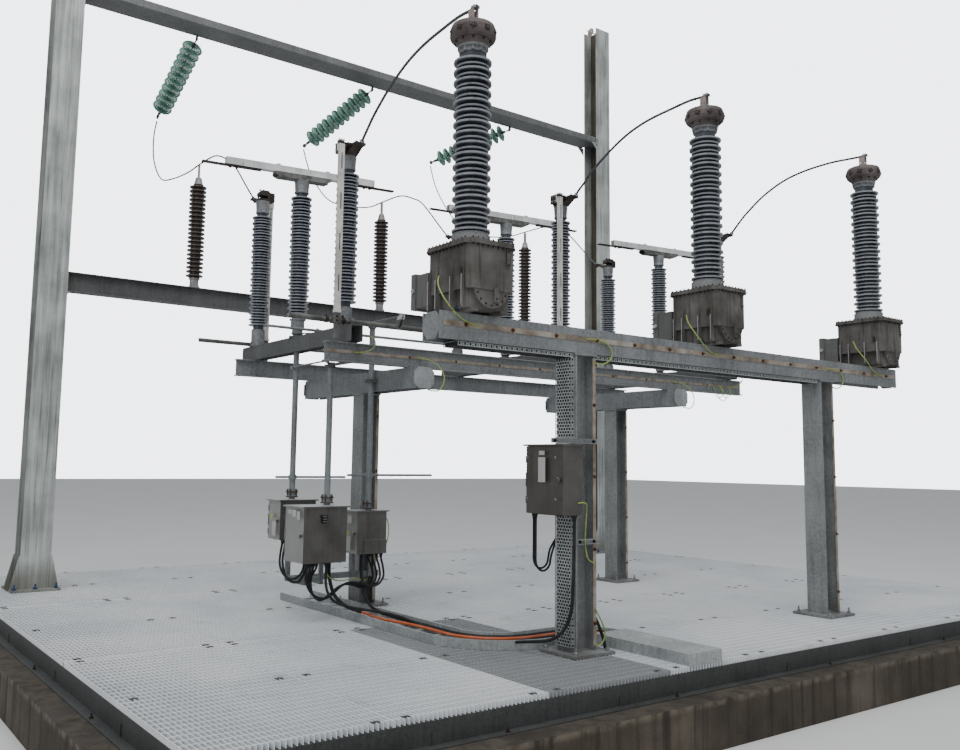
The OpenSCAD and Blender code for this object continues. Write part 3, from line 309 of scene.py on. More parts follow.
def zinc(name, tone, grime=0.3, mud=0.0, metal=0.3):
    """Hot-dip zinc: fine spangle, dull run-off streaks and a little mud near the deck."""
    f = Finish(name, Roughness=0.55, Metallic=metal)
    dark = tuple(0.62 * c for c in tone)
    light = tuple(min(1.38 * c, 0.95) for c in tone)
    spangle = f.spangle(55.0)
    cloud = f.noise(2.4, 6.0, shift=3.1)
    streak = f.noise(9.0, 5.0, (3.0, 3.0, 0.18), 1.7)
    base = f.mix(dark, light, (0.45 * cloud + 0.17 * spangle + 0.38 * streak).step(0.25, 0.75))
    stain = (streak.step(0.5, 0.72) * f.noise(1.1, 3.0, shift=8.0).step(0.42, 0.62)) * grime
    base = f.mix(base, (0.055, 0.052, 0.042), stain)
    speck = f.noise(38.0, 3.0, shift=5.0).step(0.68, 0.75) * 0.45 * grime
    base = f.mix(base, (0.085, 0.055, 0.035), speck)
    if mud:
        low = 1 - (f.z + 0.1 * f.noise(7.0)).step(DECK + 0.03, DECK + 0.38)
        base = f.mix(base, (0.09, 0.07, 0.05), low * f.noise(5.0).step(0.3, 0.7) * mud)
    grain = 0.6 * f.noise(120.0, 3.0) + 0.4 * spangle
    return f.feed(base, Roughness=0.42 + 0.3 * cloud,
                  Normal=f.bump(grain, 0.25, 0.004))


def concrete():
    """Brown, rain-marked concrete with a paler edge and dark runs down its face."""
    f = Finish("stained_concrete", Roughness=0.9)
    cloud = f.noise(1.6, 7.0)
    base = f.ramp(cloud, (0.25, (0.03, 0.022, 0.015)), (0.5, (0.07, 0.056, 0.04)),
                  (0.75, (0.135, 0.113, 0.085)))
    rim = f.z.step(PLINTH_TOP - 0.06, PLINTH_TOP - 0.015) * f.noise(9.0).step(0.3, 0.62)
    base = f.mix(base, (0.2, 0.17, 0.13), rim * 0.6)
    run = f.noise(3.2, 5.0, (3.0, 3.0, 0.12)).step(0.47, 0.7) * (1 - abs(f.nz))
    base = f.mix(base, (0.016, 0.012, 0.01), run * 0.85)
    base = f.mix(base, (0.018, 0.014, 0.01), f.nz.step(0.6, 0.9) * 0.6)
    puddle = f.noise(2.2, 3.0, shift=4.0).step(0.5, 0.62) * f.nz.step(0.6, 0.9)
    base = f.mix(base, (0.028, 0.021, 0.015), puddle * 0.65)
    pits = f.noise(90.0).step(0.62, 0.72)
    base = f.mix(base, (0.018, 0.014, 0.011), pits * 0.5)
    return f.feed(base, Roughness=0.95 - 0.35 * puddle,
                  Normal=f.bump(f.noise(45.0, 6.0) - 0.6 * pits, 0.6, 0.012))


def grating_zinc():
    f = Finish("grating_zinc", Roughness=0.42, Metallic=0.05)
    cloud = f.noise(0.9, 5.0)
    base = f.mix((0.84, 0.87, 0.9), (0.96, 0.975, 0.985), cloud.step(0.3, 0.65))
    wet = f.noise(3.4, 5.0, shift=2.0).step(0.6, 0.72) * 0.18
    base = f.mix(base, (0.3, 0.3, 0.29), wet)
    scuff = f.noise(30.0, 3.0).step(0.66, 0.74) * 0.3
    # Painted shade: one near panel, x -2.944 to -1.666, is darkened as if the shade below the grating showed
    # through it.
    panel_shade_below = (f.x > -2.944).both(f.x < -1.666).both(f.y < -1.576) * (0.45 + 0.3 * cloud)
    base = f.mix(base, (0.1, 0.105, 0.11), panel_shade_below)
    return f.feed(f.mix(base, (0.28, 0.25, 0.21), scuff), Roughness=0.35 + 0.3 * cloud,
                  Normal=f.grain(150.0, 2.0, 0.2, 0.002))


def gantry_zinc():
    """Pale outer flanges, and a recess between them painted dark olive-brown: partly stain, partly painted
    shade.
    """
    f = Finish("gantry_zinc", Roughness=0.6, Metallic=0.2)
    cloud = f.noise(1.8, 6.0)
    streak = f.noise(7.0, 5.0, (3.0, 3.0, 0.12), 2.2)
    pale = f.blend((0.2, 0.215, 0.205), (0.62, 0.66, 0.63), 0.5 * cloud + 0.5 * streak)
    olive_stain_and_shade = f.mix((0.03, 0.028, 0.02), (0.105, 0.098, 0.068), (0.4 * cloud + 0.6 * streak).step(0.3, 0.66))
    # Painted shade, with some stain: the recess within 0.15 of the column's middle is painted dark.
    inside = 1 - abs(f.y - GANTRY_Y).step(0.148, 0.1545)
    base = f.mix(pale, olive_stain_and_shade, inside)
    drip = f.noise(16.0, 4.0, (3.0, 3.0, 0.08), 6.0).step(0.55, 0.7) * 0.45
    base = f.mix(base, (0.045, 0.04, 0.03), drip)
    foot = 1 - (f.z + 0.3 * cloud).step(DECK + 0.25, DECK + 0.6)
    base = f.mix(base, (0.14, 0.12, 0.09), foot * 0.55)
    return f.feed(base, Roughness=0.5 + 0.3 * cloud,
                  Normal=f.grain(60.0, 4.0, 0.25, 0.004))


def post_porcelain():
    """Blue-grey glazed sheds with pale rims, a painted highlight, between zinc-grey pedestals and caps."""
    f = Finish("post_porcelain", Roughness=0.25)
    reach = reach_of(f.x.wrapped(PHASE, SWITCHES[0]), f.y.wrapped((FAR_Y - NEAR_Y) / 2, NEAR_Y))
    glazed = (f.z > BASE_TOP + 0.214).both(f.z < HEAD - 0.151)
    cloud = f.noise(5.0)
    glaze = f.blend((0.018, 0.022, 0.032), (0.06, 0.07, 0.092), cloud)
    small = 1 - abs(f.z.wrapped(0.07, BASE_TOP + 0.298)).step(0.008, 0.012)
    # Painted highlight: the rims of the large and small sheds are painted pale.
    rim = reach.step(0.106, 0.116).either(reach.step(0.093, 0.101) * small)
    glaze = f.mix(glaze, (0.34, 0.36, 0.41), rim * (0.4 + 0.6 * f.noise(14.0)))
    soot = f.noise(22.0).step(0.56, 0.7) * 0.5
    glaze = f.mix(glaze, (0.016, 0.015, 0.015), soot)
    metal = f.blend((0.13, 0.138, 0.142), (0.34, 0.35, 0.36), 0.6 * cloud + 0.4 * f.noise(40.0))
    metal = f.mix(metal, (0.05, 0.04, 0.03), f.noise(9.0, 4.0, (2, 2, 0.3)).step(0.58, 0.74) * 0.6)
    return f.feed(f.mix(metal, glaze, glazed), Roughness=0.52 - 0.3 * glazed + 0.15 * soot,
                  Metallic=0.35 * (1 - glazed), Coat_Weight=0.4 * glazed,
                  Normal=f.bump(f.noise(70.0, 3.0) * (1 - 0.8 * glazed), 0.2, 0.003))


def transformer_porcelain():
    """Dark sheds, large and small by turns, each with a grey rim that is a painted highlight."""
    f = Finish("transformer_porcelain", Roughness=0.25)
    reach = reach_of(f.x.wrapped(PHASE, PHASES[0]), f.y - CT_Y)
    cloud = f.noise(4.0)
    glaze = f.blend((0.03, 0.032, 0.038), (0.092, 0.098, 0.112), cloud)
    small = 1 - abs((f.z - 0.067).wrapped(0.09, 4.034)).step(0.008, 0.014)
    # Painted highlight: the rims of the sheds are painted grey.
    rim = reach.step(0.143, 0.156).either(reach.step(0.126, 0.136) * small)
    glaze = f.mix(glaze, (0.33, 0.35, 0.38), rim * (0.5 + 0.5 * f.noise(12.0)))
    soot = f.noise(20.0).step(0.55, 0.7) * 0.5
    return f.feed(f.mix(glaze, (0.022, 0.02, 0.02), soot), Roughness=0.22 + 0.3 * soot,
                  Normal=f.grain(60.0, 3.0, 0.08, 0.003))


def arrester_porcelain():
    """Dark brown sheds on a grey flange, under a pale conical cap and a perforated terminal."""
    f = Finish("arrester_porcelain", Roughness=0.3)
    cloud = f.noise(6.0)
    reach = reach_of(f.x.wrapped(PHASE, PHASES[0]), f.y - ARRESTER_Y)
    brown = f.blend((0.02, 0.013, 0.011), (0.062, 0.042, 0.033), cloud)
    # Painted highlight: the rims of the brown sheds are painted lighter.
    brown = f.mix(brown, (0.13, 0.105, 0.095), reach.step(0.102, 0.113) * 0.6)
    metal = f.blend((0.22, 0.22, 0.215), (0.46, 0.45, 0.44), cloud)
    pink = f.mix(metal, (0.5, 0.4, 0.37), (f.z > 6.1) * 0.7)
    glazed = (f.z > 4.665).both(f.z < 6.002)
    return f.feed(f.mix(pink, brown, glazed), Roughness=0.5 - 0.22 * glazed,
                  Metallic=0.3 * (1 - glazed), Normal=f.grain(60.0, 3.0, 0.12, 0.003))


def glass(name, deep, light):
    """Toughened glass, dusty on what faces up."""
    f = Finish(name, Roughness=0.1, IOR=1.5, Transmission_Weight=0.45)
    base = f.mix(deep, light, f.noise(9.0).step(0.3, 0.7))
    dust = f.nz.step(0.2, 0.9) * f.noise(24.0).step(0.4, 0.7) * 0.3
    return f.feed(f.mix(base, (0.5, 0.52, 0.49), dust), Roughness=0.1 + 0.5 * dust)


def cast_iron():
    f = Finish("dark_fittings", Roughness=0.6, Metallic=0.4)
    cloud = f.noise(14.0, 5.0)
    base = f.ramp(cloud, (0.3, (0.035, 0.032, 0.031)), (0.55, (0.105, 0.102, 0.1)), (0.8, (0.1, 0.06, 0.042)))
    return f.feed(base, Normal=f.grain(90.0, 4.0, 0.3, 0.003))


def oxidised_jaw():
    """Copper alloy gone dark brown, with a painted highlight on its upward faces."""
    f = Finish("oxidised_jaw", Roughness=0.5, Metallic=0.55)
    cloud = f.noise(8.0, 5.0)
    base = f.ramp(cloud, (0.28, (0.022, 0.018, 0.016)), (0.55, (0.062, 0.048, 0.042)),
                  (0.8, (0.15, 0.125, 0.11)))
    # Painted highlight: upward faces are made lighter in patches.
    lit = f.nz.step(0.5, 0.95) * f.noise(20.0, 3.0).step(0.35, 0.7) * 0.5
    return f.feed(f.mix(base, (0.24, 0.22, 0.2), lit), Roughness=0.4 + 0.3 * cloud,
                  Normal=f.grain(70.0, 4.0, 0.3, 0.003))


def blade_finish(switch):
    """A whitish tube on a grey cradle, with dark contact bars; heights tell them apart."""
    f = Finish("blade_finish_%d" % switch, Roughness=0.4, Metallic=0.45)
    cloud = f.noise(6.0, 5.0)
    pale = f.blend((0.66, 0.66, 0.65), (0.93, 0.93, 0.92), cloud)
    cradle = f.blend((0.06, 0.056, 0.052), (0.26, 0.26, 0.25), cloud * 0.6 + f.noise(30.0) * 0.4)
    bar = f.mix((0.024, 0.018, 0.016), (0.08, 0.055, 0.045), f.noise(18.0).step(0.35, 0.7))
    reach = reach_of(f.x - SWITCHES[switch], f.y - TURN_Y)
    low = f.z < HEAD + 0.0595
    base = f.mix(pale, f.mix(cradle, bar, reach > 0.4), low)
    run = f.noise(14.0, 4.0, (2, 2, 0.4)).step(0.58, 0.72) * 0.4
    return f.feed(f.mix(base, (0.1, 0.09, 0.08), run), Roughness=0.36 + 0.25 * low,
                  Normal=f.grain(80.0, 3.0, 0.15, 0.002))


def earthing_finish(name, side):
    """Cream flat bars with slots painted dark as painted shade, smeared grease, on a dull zinc shaft."""
    f = Finish(name, Roughness=0.5, Metallic=0.3)
    cloud = f.noise(6.0, 5.0)
    cream = f.blend((0.55, 0.54, 0.5), (0.86, 0.84, 0.79), cloud)
    across = abs(f.x.wrapped(PHASE, SWITCHES[0] - side * 0.19))
    # Painted shade: the slots in the bars are painted dark, with a dent in the bump.
    slot = (across < 0.006).both(abs(f.z.wrapped(0.42, 3.95)) < 0.085)
    cream = f.mix(cream, (0.06, 0.055, 0.05), slot.both(f.z > BASE_TOP + 0.15))
    grime = f.noise(10.0, 4.0, (2, 2, 0.3)).step(0.55, 0.72) * 0.5
    cream = f.mix(cream, (0.22, 0.2, 0.17), grime)
    dull = f.blend((0.07, 0.068, 0.062), (0.19, 0.19, 0.18), cloud)
    return f.feed(f.mix(dull, cream, f.z > BASE_TOP + 0.11), Roughness=0.45 + 0.2 * cloud,
                  Normal=f.bump(f.noise(80.0, 3.0) - 2.0 * slot, 0.2, 0.003))


def tank_casting():
    """Grey-brown, weather-beaten castings: paler lids, where upward faces get painted light from above, and
    dark flanks with streaks.
    """
    f = Finish("tank_casting", Roughness=0.7, Metallic=0.15)
    cloud = f.noise(3.6, 6.0)
    base = f.ramp(cloud, (0.28, (0.052, 0.044, 0.038)), (0.5, (0.115, 0.105, 0.096)),
                  (0.75, (0.21, 0.198, 0.186)))
    run = f.noise(9.0, 5.0, (2.5, 2.5, 0.2)).step(0.5, 0.68) * (1 - abs(f.nz)) * 0.6
    base = f.mix(base, (0.026, 0.021, 0.018), run)
    collar = f.z.step(3.925, 3.94) * (1 - f.z.step(4.03, 4.05))
    base = f.mix(base, (0.3, 0.31, 0.32), collar * 0.75)
    base = f.mix(base, (0.155, 0.158, 0.155), (f.y > CT_Y + 0.282) * (0.45 + 0.4 * cloud))
    # Painted light from above: upward faces are made paler in patches.
    top = f.nz.step(0.6, 0.95) * f.noise(12.0).step(0.35, 0.65) * 0.35
    return f.feed(f.mix(base, (0.3, 0.29, 0.27), top), Roughness=0.6 + 0.25 * cloud,
                  Normal=f.grain(55.0, 5.0, 0.4, 0.006))


def head_casting():
    """Dark brown bulb over a grey ribbed flange, with pinkish terminals."""
    f = Finish("head_casting", Roughness=0.55, Metallic=0.25)
    cloud = f.noise(5.0, 6.0)
    dark = f.ramp(cloud, (0.28, (0.044, 0.033, 0.032)), (0.5, (0.105, 0.083, 0.08)),
                  (0.75, (0.2, 0.172, 0.166)))
    grey = f.blend((0.12, 0.123, 0.127), (0.28, 0.288, 0.295), cloud)
    base = f.mix(grey, dark, f.z > 5.632)
    base = f.mix(base, (0.42, 0.345, 0.325), (f.z > 5.847) * 0.85)
    # Painted light from above: upward faces are made paler.
    top = f.nz.step(0.55, 0.95) * 0.35
    return f.feed(f.mix(base, (0.22, 0.2, 0.185), top), Roughness=0.5 + 0.25 * cloud,
                  Normal=f.grain(50.0, 5.0, 0.35, 0.005))


def stainless(name, side):
    f = Finish(name, Roughness=0.34, Metallic=0.5)
    brush = f.noise(5.0, 4.0, (1.0, 1.0, 60.0))
    cloud = f.noise(2.5, 5.0)
    base = f.blend((0.085, 0.08, 0.074), (0.165, 0.158, 0.148), 0.15 * brush + 0.85 * cloud)
    # Faces towards -X take the tone side; the pale tone given for the cabinets is painted light on that side.
    base = f.mix(base, side, (f.nx < -0.8) * (0.35 + 0.3 * cloud))
    # Upward faces painted nearly white: a painted reflection of the sky.
    base = f.mix(base, (0.72, 0.73, 0.74), (f.nz > 0.8) * 0.85)
    run = f.noise(11.0, 4.0, (3, 3, 0.15)).step(0.56, 0.7) * (1 - abs(f.nz)) * 0.35
    base = f.mix(base, (0.05, 0.044, 0.038), run)
    return f.feed(base, Roughness=0.28 + 0.2 * cloud + 0.1 * brush,
                  Normal=f.bump(brush, 0.05, 0.001))


def conductor_strand():
    """Stranded bare aluminium, dull grey; a fine twist stands in the bump."""
    f = Finish("conductor_strand", Roughness=0.5, Metallic=0.5)
    twist = f.bands(38.0, 0.4)
    cloud = f.noise(5.0)
    base = f.mix((0.045, 0.045, 0.048), (0.16, 0.16, 0.166), (0.5 * cloud + 0.5 * twist).step(0.25, 0.75))
    return f.feed(base, Normal=f.bump(twist, 0.5, 0.003))


def jacket(name, tone, shine=0.45, dusty=0.35):
    f = Finish(name, Roughness=shine)
    dust = f.noise(9.0).step(0.45, 0.7) * dusty
    scuff = f.noise(60.0, 3.0).step(0.6, 0.7) * 0.8 * dusty
    pale = tuple(min(0.6 * c + 0.22, 0.8) for c in tone)
    return f.feed(f.mix(f.mix(tone, pale, dust), (0.3, 0.28, 0.25), scuff * 0.4),
                  Roughness=shine + 0.4 * dust, Normal=f.grain(110.0, 2.0, 0.12, 0.001))


def bond_wire_jacket():
    """Green with a yellow stripe that winds round it."""
    f = Finish("bond_wire_jacket", Roughness=0.4)
    stripe = f.bands(14.0, 0.6).step(0.45, 0.55)
    base = f.mix((0.1, 0.33, 0.1), (0.5, 0.48, 0.08), stripe)
    return f.feed(f.mix(base, (0.3, 0.29, 0.22), f.noise(20.0).step(0.5, 0.8) * 0.4))


def copper():
    """Flat earthing strap: tan to brown copper with darker patches."""
    f = Finish("strap_copper", Roughness=0.45, Metallic=0.5)
    cloud = f.noise(7.0, 5.0)
    base = f.ramp(cloud, (0.28, (0.15, 0.115, 0.085)), (0.48, (0.34, 0.285, 0.225)),
                  (0.7, (0.5, 0.465, 0.41)))
    return f.feed(base, Roughness=0.4 + 0.3 * cloud, Normal=f.bump(f.noise(60.0), 0.2, 0.002))


def nut_steel(name, tone):
    f = Finish(name, Roughness=0.4, Metallic=0.55)
    worn = f.noise(45.0).step(0.42, 0.7)
    rust = f.noise(70.0, 3.0, shift=9.0).step(0.6, 0.7) * 0.5
    base = f.mix(tone, tuple(0.45 * c for c in tone), worn * 0.6)
    return f.feed(f.mix(base, (0.2, 0.11, 0.06), rust), Normal=f.bump(worn, 0.2, 0.002))


# Camera, at the height and turn of the photograph

eye = bpy.data.cameras.new("photo_camera")
camera = place("photo_camera", eye)
camera.location = (-7.39, -9.385, 2.18)
camera.matrix_world = (Matrix.Translation(camera.location) @ Matrix.Rotation(radians(-36.29), 4, "Z")
                       @ Matrix.Rotation(radians(96.37), 4, "X") @ Matrix.Rotation(radians(0.73), 4, "Z"))
eye.lens = 34.27
eye.sensor_width = 36.0
eye.shift_x = 0.0194
eye.shift_y = -0.0155
eye.clip_end = 200
bpy.context.scene.camera = camera

# Cords, on the routes of their solids

STRAND = conductor_strand()
BLACK = jacket("jacket_black", (0.008, 0.008, 0.009), 0.75, 0.06)
ORANGE = jacket("jacket_orange", (0.62, 0.13, 0.035))
GREY_JACKET = jacket("jacket_grey", (0.16, 0.155, 0.16))
BOND = bond_wire_jacket()
STRING_HANG = [(-3.05, 3.0875, 8.21), (-0.11, 3.0875, 8.21), (2.79, 3.0875, 8.21)]
STRING_RUN = [(-0.035, 1.541, -0.716), (-0.458, 1.509, -0.636), (-0.719, 1.492, -0.382)]
DROP_LOOPS = [
    [(-3.11, 4.665, 7.191), (-3.116, 4.582, 6.787), (-3.091, 4.271, 6.418), (-3.06, 3.811, 6.309),
     (-3.021, 3.275, 6.278)],
    [(-0.493, 4.433, 7.047), (-0.368, 4.05, 6.553), (-0.216, 3.612, 6.36), (-0.076, 3.173, 6.268)],
    [(2.216, 4.527, 7.272), (2.444, 4.208, 6.652), (2.679, 3.753, 6.353), (2.883, 3.241, 6.263)]]
JUMP_MID = [
    [(-2.882, -1.62, 5.555), (-2.89, -1.74, 5.64), (-2.905, -2.01, 5.79), (-2.925, -2.34, 5.92),
     (-2.945, -2.68, 5.988), (-2.968, -3.06, 6.008)],
    [(0.118, -1.62, 5.548), (0.111, -1.74, 5.638), (0.095, -2.01, 5.78), (0.075, -2.34, 5.912),
     (0.055, -2.68, 5.98), (0.032, -3.06, 5.998)],
    [(3.118, -1.62, 5.575), (3.111, -1.74, 5.668), (3.095, -2.01, 5.834), (3.075, -2.34, 5.962),
     (3.055, -2.68, 6.016), (3.03, -3.06, 6.02)]]


def lay_cord(name, points, radius, finish, steps=4, solid=None, sides=10):
    path = curve_through(points, steps)
    made = Shape().tube(path, radius, sides).piece(name, finish, smooth=True)
    sum((b - a).length for a, b in zip(path, path[1:]))
    2 * radius
    if solid:
        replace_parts(made, solid)


def shifted(point, dx, dy, dz):
    return (point[0] + dx, point[1] + dy, point[2] + dz)


def socket(i, row, side, out=0.002):
    """A point on the conductor's line, out of the mouth of a jaw's terminal socket."""
    return (SWITCHES[i], row + side * (0.285 + 0.72 * out), HEAD + 0.102 + 0.694 * out)


for i, letter in enumerate("abc"):
    string_tip = tuple(a + b for a, b in zip(STRING_HANG[i], STRING_RUN[i]))
    over = (PHASES[i], ARRESTER_Y, 6.296)
    tail = socket(i, FAR_Y, 1)
    lay_cord("dropper_wire_" + letter, [shifted(string_tip, 0, 0, -0.054), *DROP_LOOPS[i], over,
             shifted(over, 0.02, -0.52, -0.01), shifted(over, 0.05, -0.86, -0.13),
             shifted(tail, -0.06, 0.56, 0.59), shifted(tail, -0.015, 0.16, 0.165),
             socket(i, FAR_Y, 1, 0.06), tail], 0.011, STRAND, 4, "dropper_" + letter)
    end = (PHASES[i], CT_Y - 0.06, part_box("ct_heads")[1].z + 0.016)
    lay_cord("jumper_wire_" + letter, [socket(i, NEAR_Y, -1), socket(i, NEAR_Y, -1, 0.05), *JUMP_MID[i],
             shifted(end, 0, 0.26, 0.012), shifted(end, 0, 0.09, 0), end], 0.014, STRAND, 4,
             "jumper_" + letter)


def ladder_lane(side, radius):
    """The bed of the cable ladder from its long run round two bends into the covered tray."""
    z = DECK + 0.037 + radius
    first = [(-1.87 + (0.6 - side) * cos(radians(a)), -2.435 + (0.6 - side) * sin(radians(a)), z)
             for a in range(180, 271, 15)]
    second = [(-1.54 + (0.3 + side) * cos(radians(a)), -3.335 + (0.3 + side) * sin(radians(a)), z)
              for a in (90, 67.5, 45, 22.5, 0)]
    return [(-2.47 + side, -2.1, z), *first, *second,
            *((-1.24 + side, y, z) for y in (-3.44, -3.6, -3.85, -4.13, -4.407))]


ORANGE_FALL = [(-2.86, -0.995, 1.171), (-2.86, -0.995, 1.126), (-2.86, -0.995, 1.081),
               (-2.856, -1.008, 0.98), (-2.83, -1.06, 0.84), (-2.765, -1.17, 0.74),
               (-2.66, -1.33, 0.688), (-2.55, -1.55, 0.642), (-2.46, -1.82, 0.632)]
lay_cord("cable_run_orange", [*ORANGE_FALL, *ladder_lane(0.04, 0.014)], 0.014, ORANGE, 2,
         solid="cable_orange")
Shape().tube(curve_through(ORANGE_FALL[:7], 3), 0.018, 10).piece("orange_cable_sleeve", BLACK, smooth=True)
lay_cord("cable_run_black", [
    (-2.28, -0.64, 1.178), (-2.28, -0.64, 1.133), (-2.28, -0.64, 1.088), (-2.284, -0.655, 0.98),
    (-2.296, -0.71, 0.85), (-2.318, -0.82, 0.735), (-2.34, -0.99, 0.664), (-2.354, -1.23, 0.637),
    (-2.36, -1.6, 0.633), *ladder_lane(0.11, 0.016)], 0.016, BLACK, 2, solid="cable_black")


def box_cable(name, points, radius=0.014, glands=(0, -1), finish=BLACK):
    """A cable between box floors, with a tapered relief at the points numbered in glands."""
    lay_cord(name, points, radius, finish, sides=8)
    taper = [(1.9 * radius, 0.004), (1.9 * radius, -0.012), (1.5 * radius, -0.02), (1.08 * radius, -0.05)]
    reliefs = Shape()
    for end in glands:
        reliefs.lathe(taper, points[end], UP, 12)
    if glands:
        reliefs.piece(name + "_relief", BLACK, smooth=True)


def wire(name, points, radius=0.006, finish=BOND):
    """An earthing wire, bolted down at both ends."""
    box_cable(name, points, radius, (), finish)


DRIVE_ROUTE = [  # x, y, z, and how far x and z move from one cable to the next
    (-3.185, -1.15, 1.174, 0.05, 0), (-3.19, -1.15, 1.11, 0.05, 0), (-3.195, -1.148, 1.02, 0.035, 0),
    (-3.155, -1.146, 0.915, 0.025, -0.008), (-3.055, -1.12, 0.836, 0.015, -0.01),
    (-2.92, -1.066, 0.812, 0, -0.01), (-2.79, -0.99, 0.85, 0, -0.01), (-2.677, -0.93, 0.898, 0, -0.01),
    (-2.547, -0.862, 0.918, 0, -0.01), (-2.368, -0.79, 0.893, -0.012, -0.01),
    (-2.21, -0.735, 0.85, -0.022, -0.009), (-2.09, -0.69, 0.85, -0.022, -0.009),
    (-2.015, -0.672, 0.925, -0.026, -0.005), (-2.02, -0.668, 1.03, -0.03, 0),
    (-2.045, -0.668, 1.115, -0.036, 0), (-2.05, -0.668, 1.181, -0.036, 0)]
HAND_ROUTE = [  # x, y, z, and -1 where the second cable hangs lower
    (-3.01, -0.21, 1.334, 0), (-3.014, -0.212, 1.28, 0), (-3.045, -0.245, 1.19, 0), (-3.09, -0.33, 1.09, 0),
    (-3.12, -0.47, 1.01, -1), (-3.13, -0.64, 0.97, -1), (-3.125, -0.79, 0.99, -1), (-3.112, -0.88, 1.05, 0),
    (-3.105, -0.915, 1.12, 0), (-3.104, -0.918, 1.174, 0)]
for k in range(4):
    box_cable("drive_cable_%d" % (k + 1),
              [(x + k * dx, y + 0.031 * k, z + k * dz) for x, y, z, dx, dz in DRIVE_ROUTE], 0.0115)
for k in range(2):
    box_cable("hand_drive_cable_%d" % (k + 1),
              [(x + 0.034 * k, y, z + 0.034 * k * fall) for x, y, z, fall in HAND_ROUTE], 0.0125)
box_cable("ladder_feed_cable", [
    (-2.985, -1.165, 1.174), (-2.985, -1.166, 1.11), (-2.99, -1.172, 1.0), (-2.975, -1.19, 0.89),
    (-2.915, -1.225, 0.8), (-2.8, -1.29, 0.748), (-2.67, -1.39, 0.722), (-2.56, -1.52, 0.704),
    (-2.465, -1.7, 0.682), (-2.412, -1.9, 0.646), *ladder_lane(0.078, 0.014)], glands=(0,))
box_cable("box_earth_wire", [
    (-2.934, -1.05, 1.174), (-2.937, -1.06, 1.1), (-2.9, -1.066, 1.02), (-2.8, -1.04, 0.975),
    (-2.66, -0.96, 0.958), (-2.5, -0.85, 0.955), (-2.34, -0.72, 0.92), (-2.19, -0.56, 0.88),
    (-2.09, -0.45, 0.88), (-2.06, -0.387, 0.89)], 0.006, (0,), BOND)
box_cable("earth_box_wire", [
    (-2.009, -0.58, 1.59), (-1.96, -0.58, 1.58), (-1.915, -0.58, 1.51), (-1.9, -0.58, 1.4),
    (-1.925, -0.58, 1.28), (-1.985, -0.585, 1.17), (-2.06, -0.59, 1.12), (-2.12, -0.592, 1.13),
    (-2.145, -0.595, 1.181)], 0.005, (-1,), BOND)
HALF_TURN = [pi * (1 + n / 6) for n in range(7)]
for k in range(2):
    y, low = -3.3 - 0.028 * k, 1.372 - 0.02 * k
    box_cable("post_loop_cable_%d" % (k + 1), [
        *((-2.122, y, z) for z in (1.749, 1.64, 1.53, 1.44)),
        *((-2.037 + 0.085 * cos(a), y, low + 0.096 * sin(a)) for a in HALF_TURN),
        (-1.95, y - 0.022, low + 0.07), (-1.948, -3.392, low + 0.16)], 0.0092, (0,))
box_cable("post_down_cable", [
    (-2.01, -3.69, 1.749), (-2.01, -3.69, 1.66), (-2.014, -3.69, 1.45), (-2.02, -3.688, 1.2),
    (-2.03, -3.68, 1.0), (-2.052, -3.652, 0.86), (-2.098, -3.596, 0.76), (-2.156, -3.51, 0.708),
    (-2.206, -3.405, 0.69), (-2.226, -3.29, 0.672), (-2.204, -3.18, 0.65), (-2.13, -3.105, 0.636),
    (-2.02, -3.083, 0.631), (-1.86, -3.085, 0.631), (-1.7, -3.085, 0.631), *ladder_lane(-0.05, 0.014)[8:]],
    glands=(0,))
wire("post_box_wire", [
    (-1.99, -3.714, 1.85), (-1.95, -3.728, 1.853), (-1.9, -3.72, 1.84), (-1.868, -3.69, 1.78),
    (-1.858, -3.668, 1.64), (-1.85, -3.655, 1.5), (-1.815, -3.648, 1.38), (-1.74, -3.646, 1.335)])
wire("post_foot_wire", [
    (-1.722, -3.644, 0.95), (-1.69, -3.646, 0.9), (-1.64, -3.646, 0.82), (-1.61, -3.644, 0.735),
    (-1.63, -3.642, 0.668), (-1.68, -3.642, 0.644), (-1.728, -3.644, 0.656)])
box_cable("post_foot_cable", [
    (-1.69, -3.56, 0.94), (-1.672, -3.58, 0.88), (-1.64, -3.605, 0.79), (-1.606, -3.615, 0.7),
    (-1.586, -3.618, 0.63), (-1.58, -3.618, 0.576)], glands=())
for kind, places, radius, points in (
        ("tank", PHASES, 0.006, [
            (-0.243, -3.44, 3.665), (-0.29, -3.48, 3.65), (-0.335, -3.54, 3.57), (-0.342, -3.61, 3.48),
            (-0.318, -3.652, 3.41), (-0.255, -3.66, 3.345), (-0.165, -3.654, 3.296), (-0.07, -3.65, 3.268),
            (0.012, -3.648, 3.262)]),
        ("switch", SWITCHES, 0.0052, [
            (0.076, -1.392, 3.44), (0.14, -1.4, 3.452), (0.215, -1.402, 3.43), (0.255, -1.398, 3.372),
            (0.225, -1.366, 3.31), (0.15, -1.324, 3.282), (0.06, -1.301, 3.276)]),
        ("crossarm", FRAME_POSTS, 0.006, [
            (0, -1.301, 3.276), (0.1, -1.324, 3.272), (0.205, -1.39, 3.215), (0.258, -1.446, 3.11),
            (0.235, -1.474, 3.0), (0.16, -1.478, 2.925), (0.06, -1.44, 2.934)]),
        ("beam", CT_POSTS, 0.006, [
            (0, -3.646, 3.264), (0.12, -3.65, 3.266), (0.24, -3.652, 3.245), (0.31, -3.652, 3.17),
            (0.27, -3.65, 3.09), (0.18, -3.648, 3.055), (0.1, -3.644, 3.062)])):
    for x, letter in zip(places, "abc"):
        wire(kind + "_wire_" + letter, [shifted(point, x, 0, 0) for point in points], radius)
for k, (x, r, drop) in enumerate(((2.93, 0.085, 0.115), (2.985, 0.105, 0.15), (3.05, 0.09, 0.105))):
    hoop = [(x + r * cos(a), -1.352 - 0.014 * k, 3.215 + drop * sin(a)) for a in HALF_TURN]
    wire("earth_loop_%d" % (k + 1), [(x - 0.92 * r, -1.299, 3.286), *hoop, (x + 0.92 * r, -1.299, 3.286)],
         0.0048, GREY_JACKET if k == 1 else BOND)

# Finishes of the solids that stay

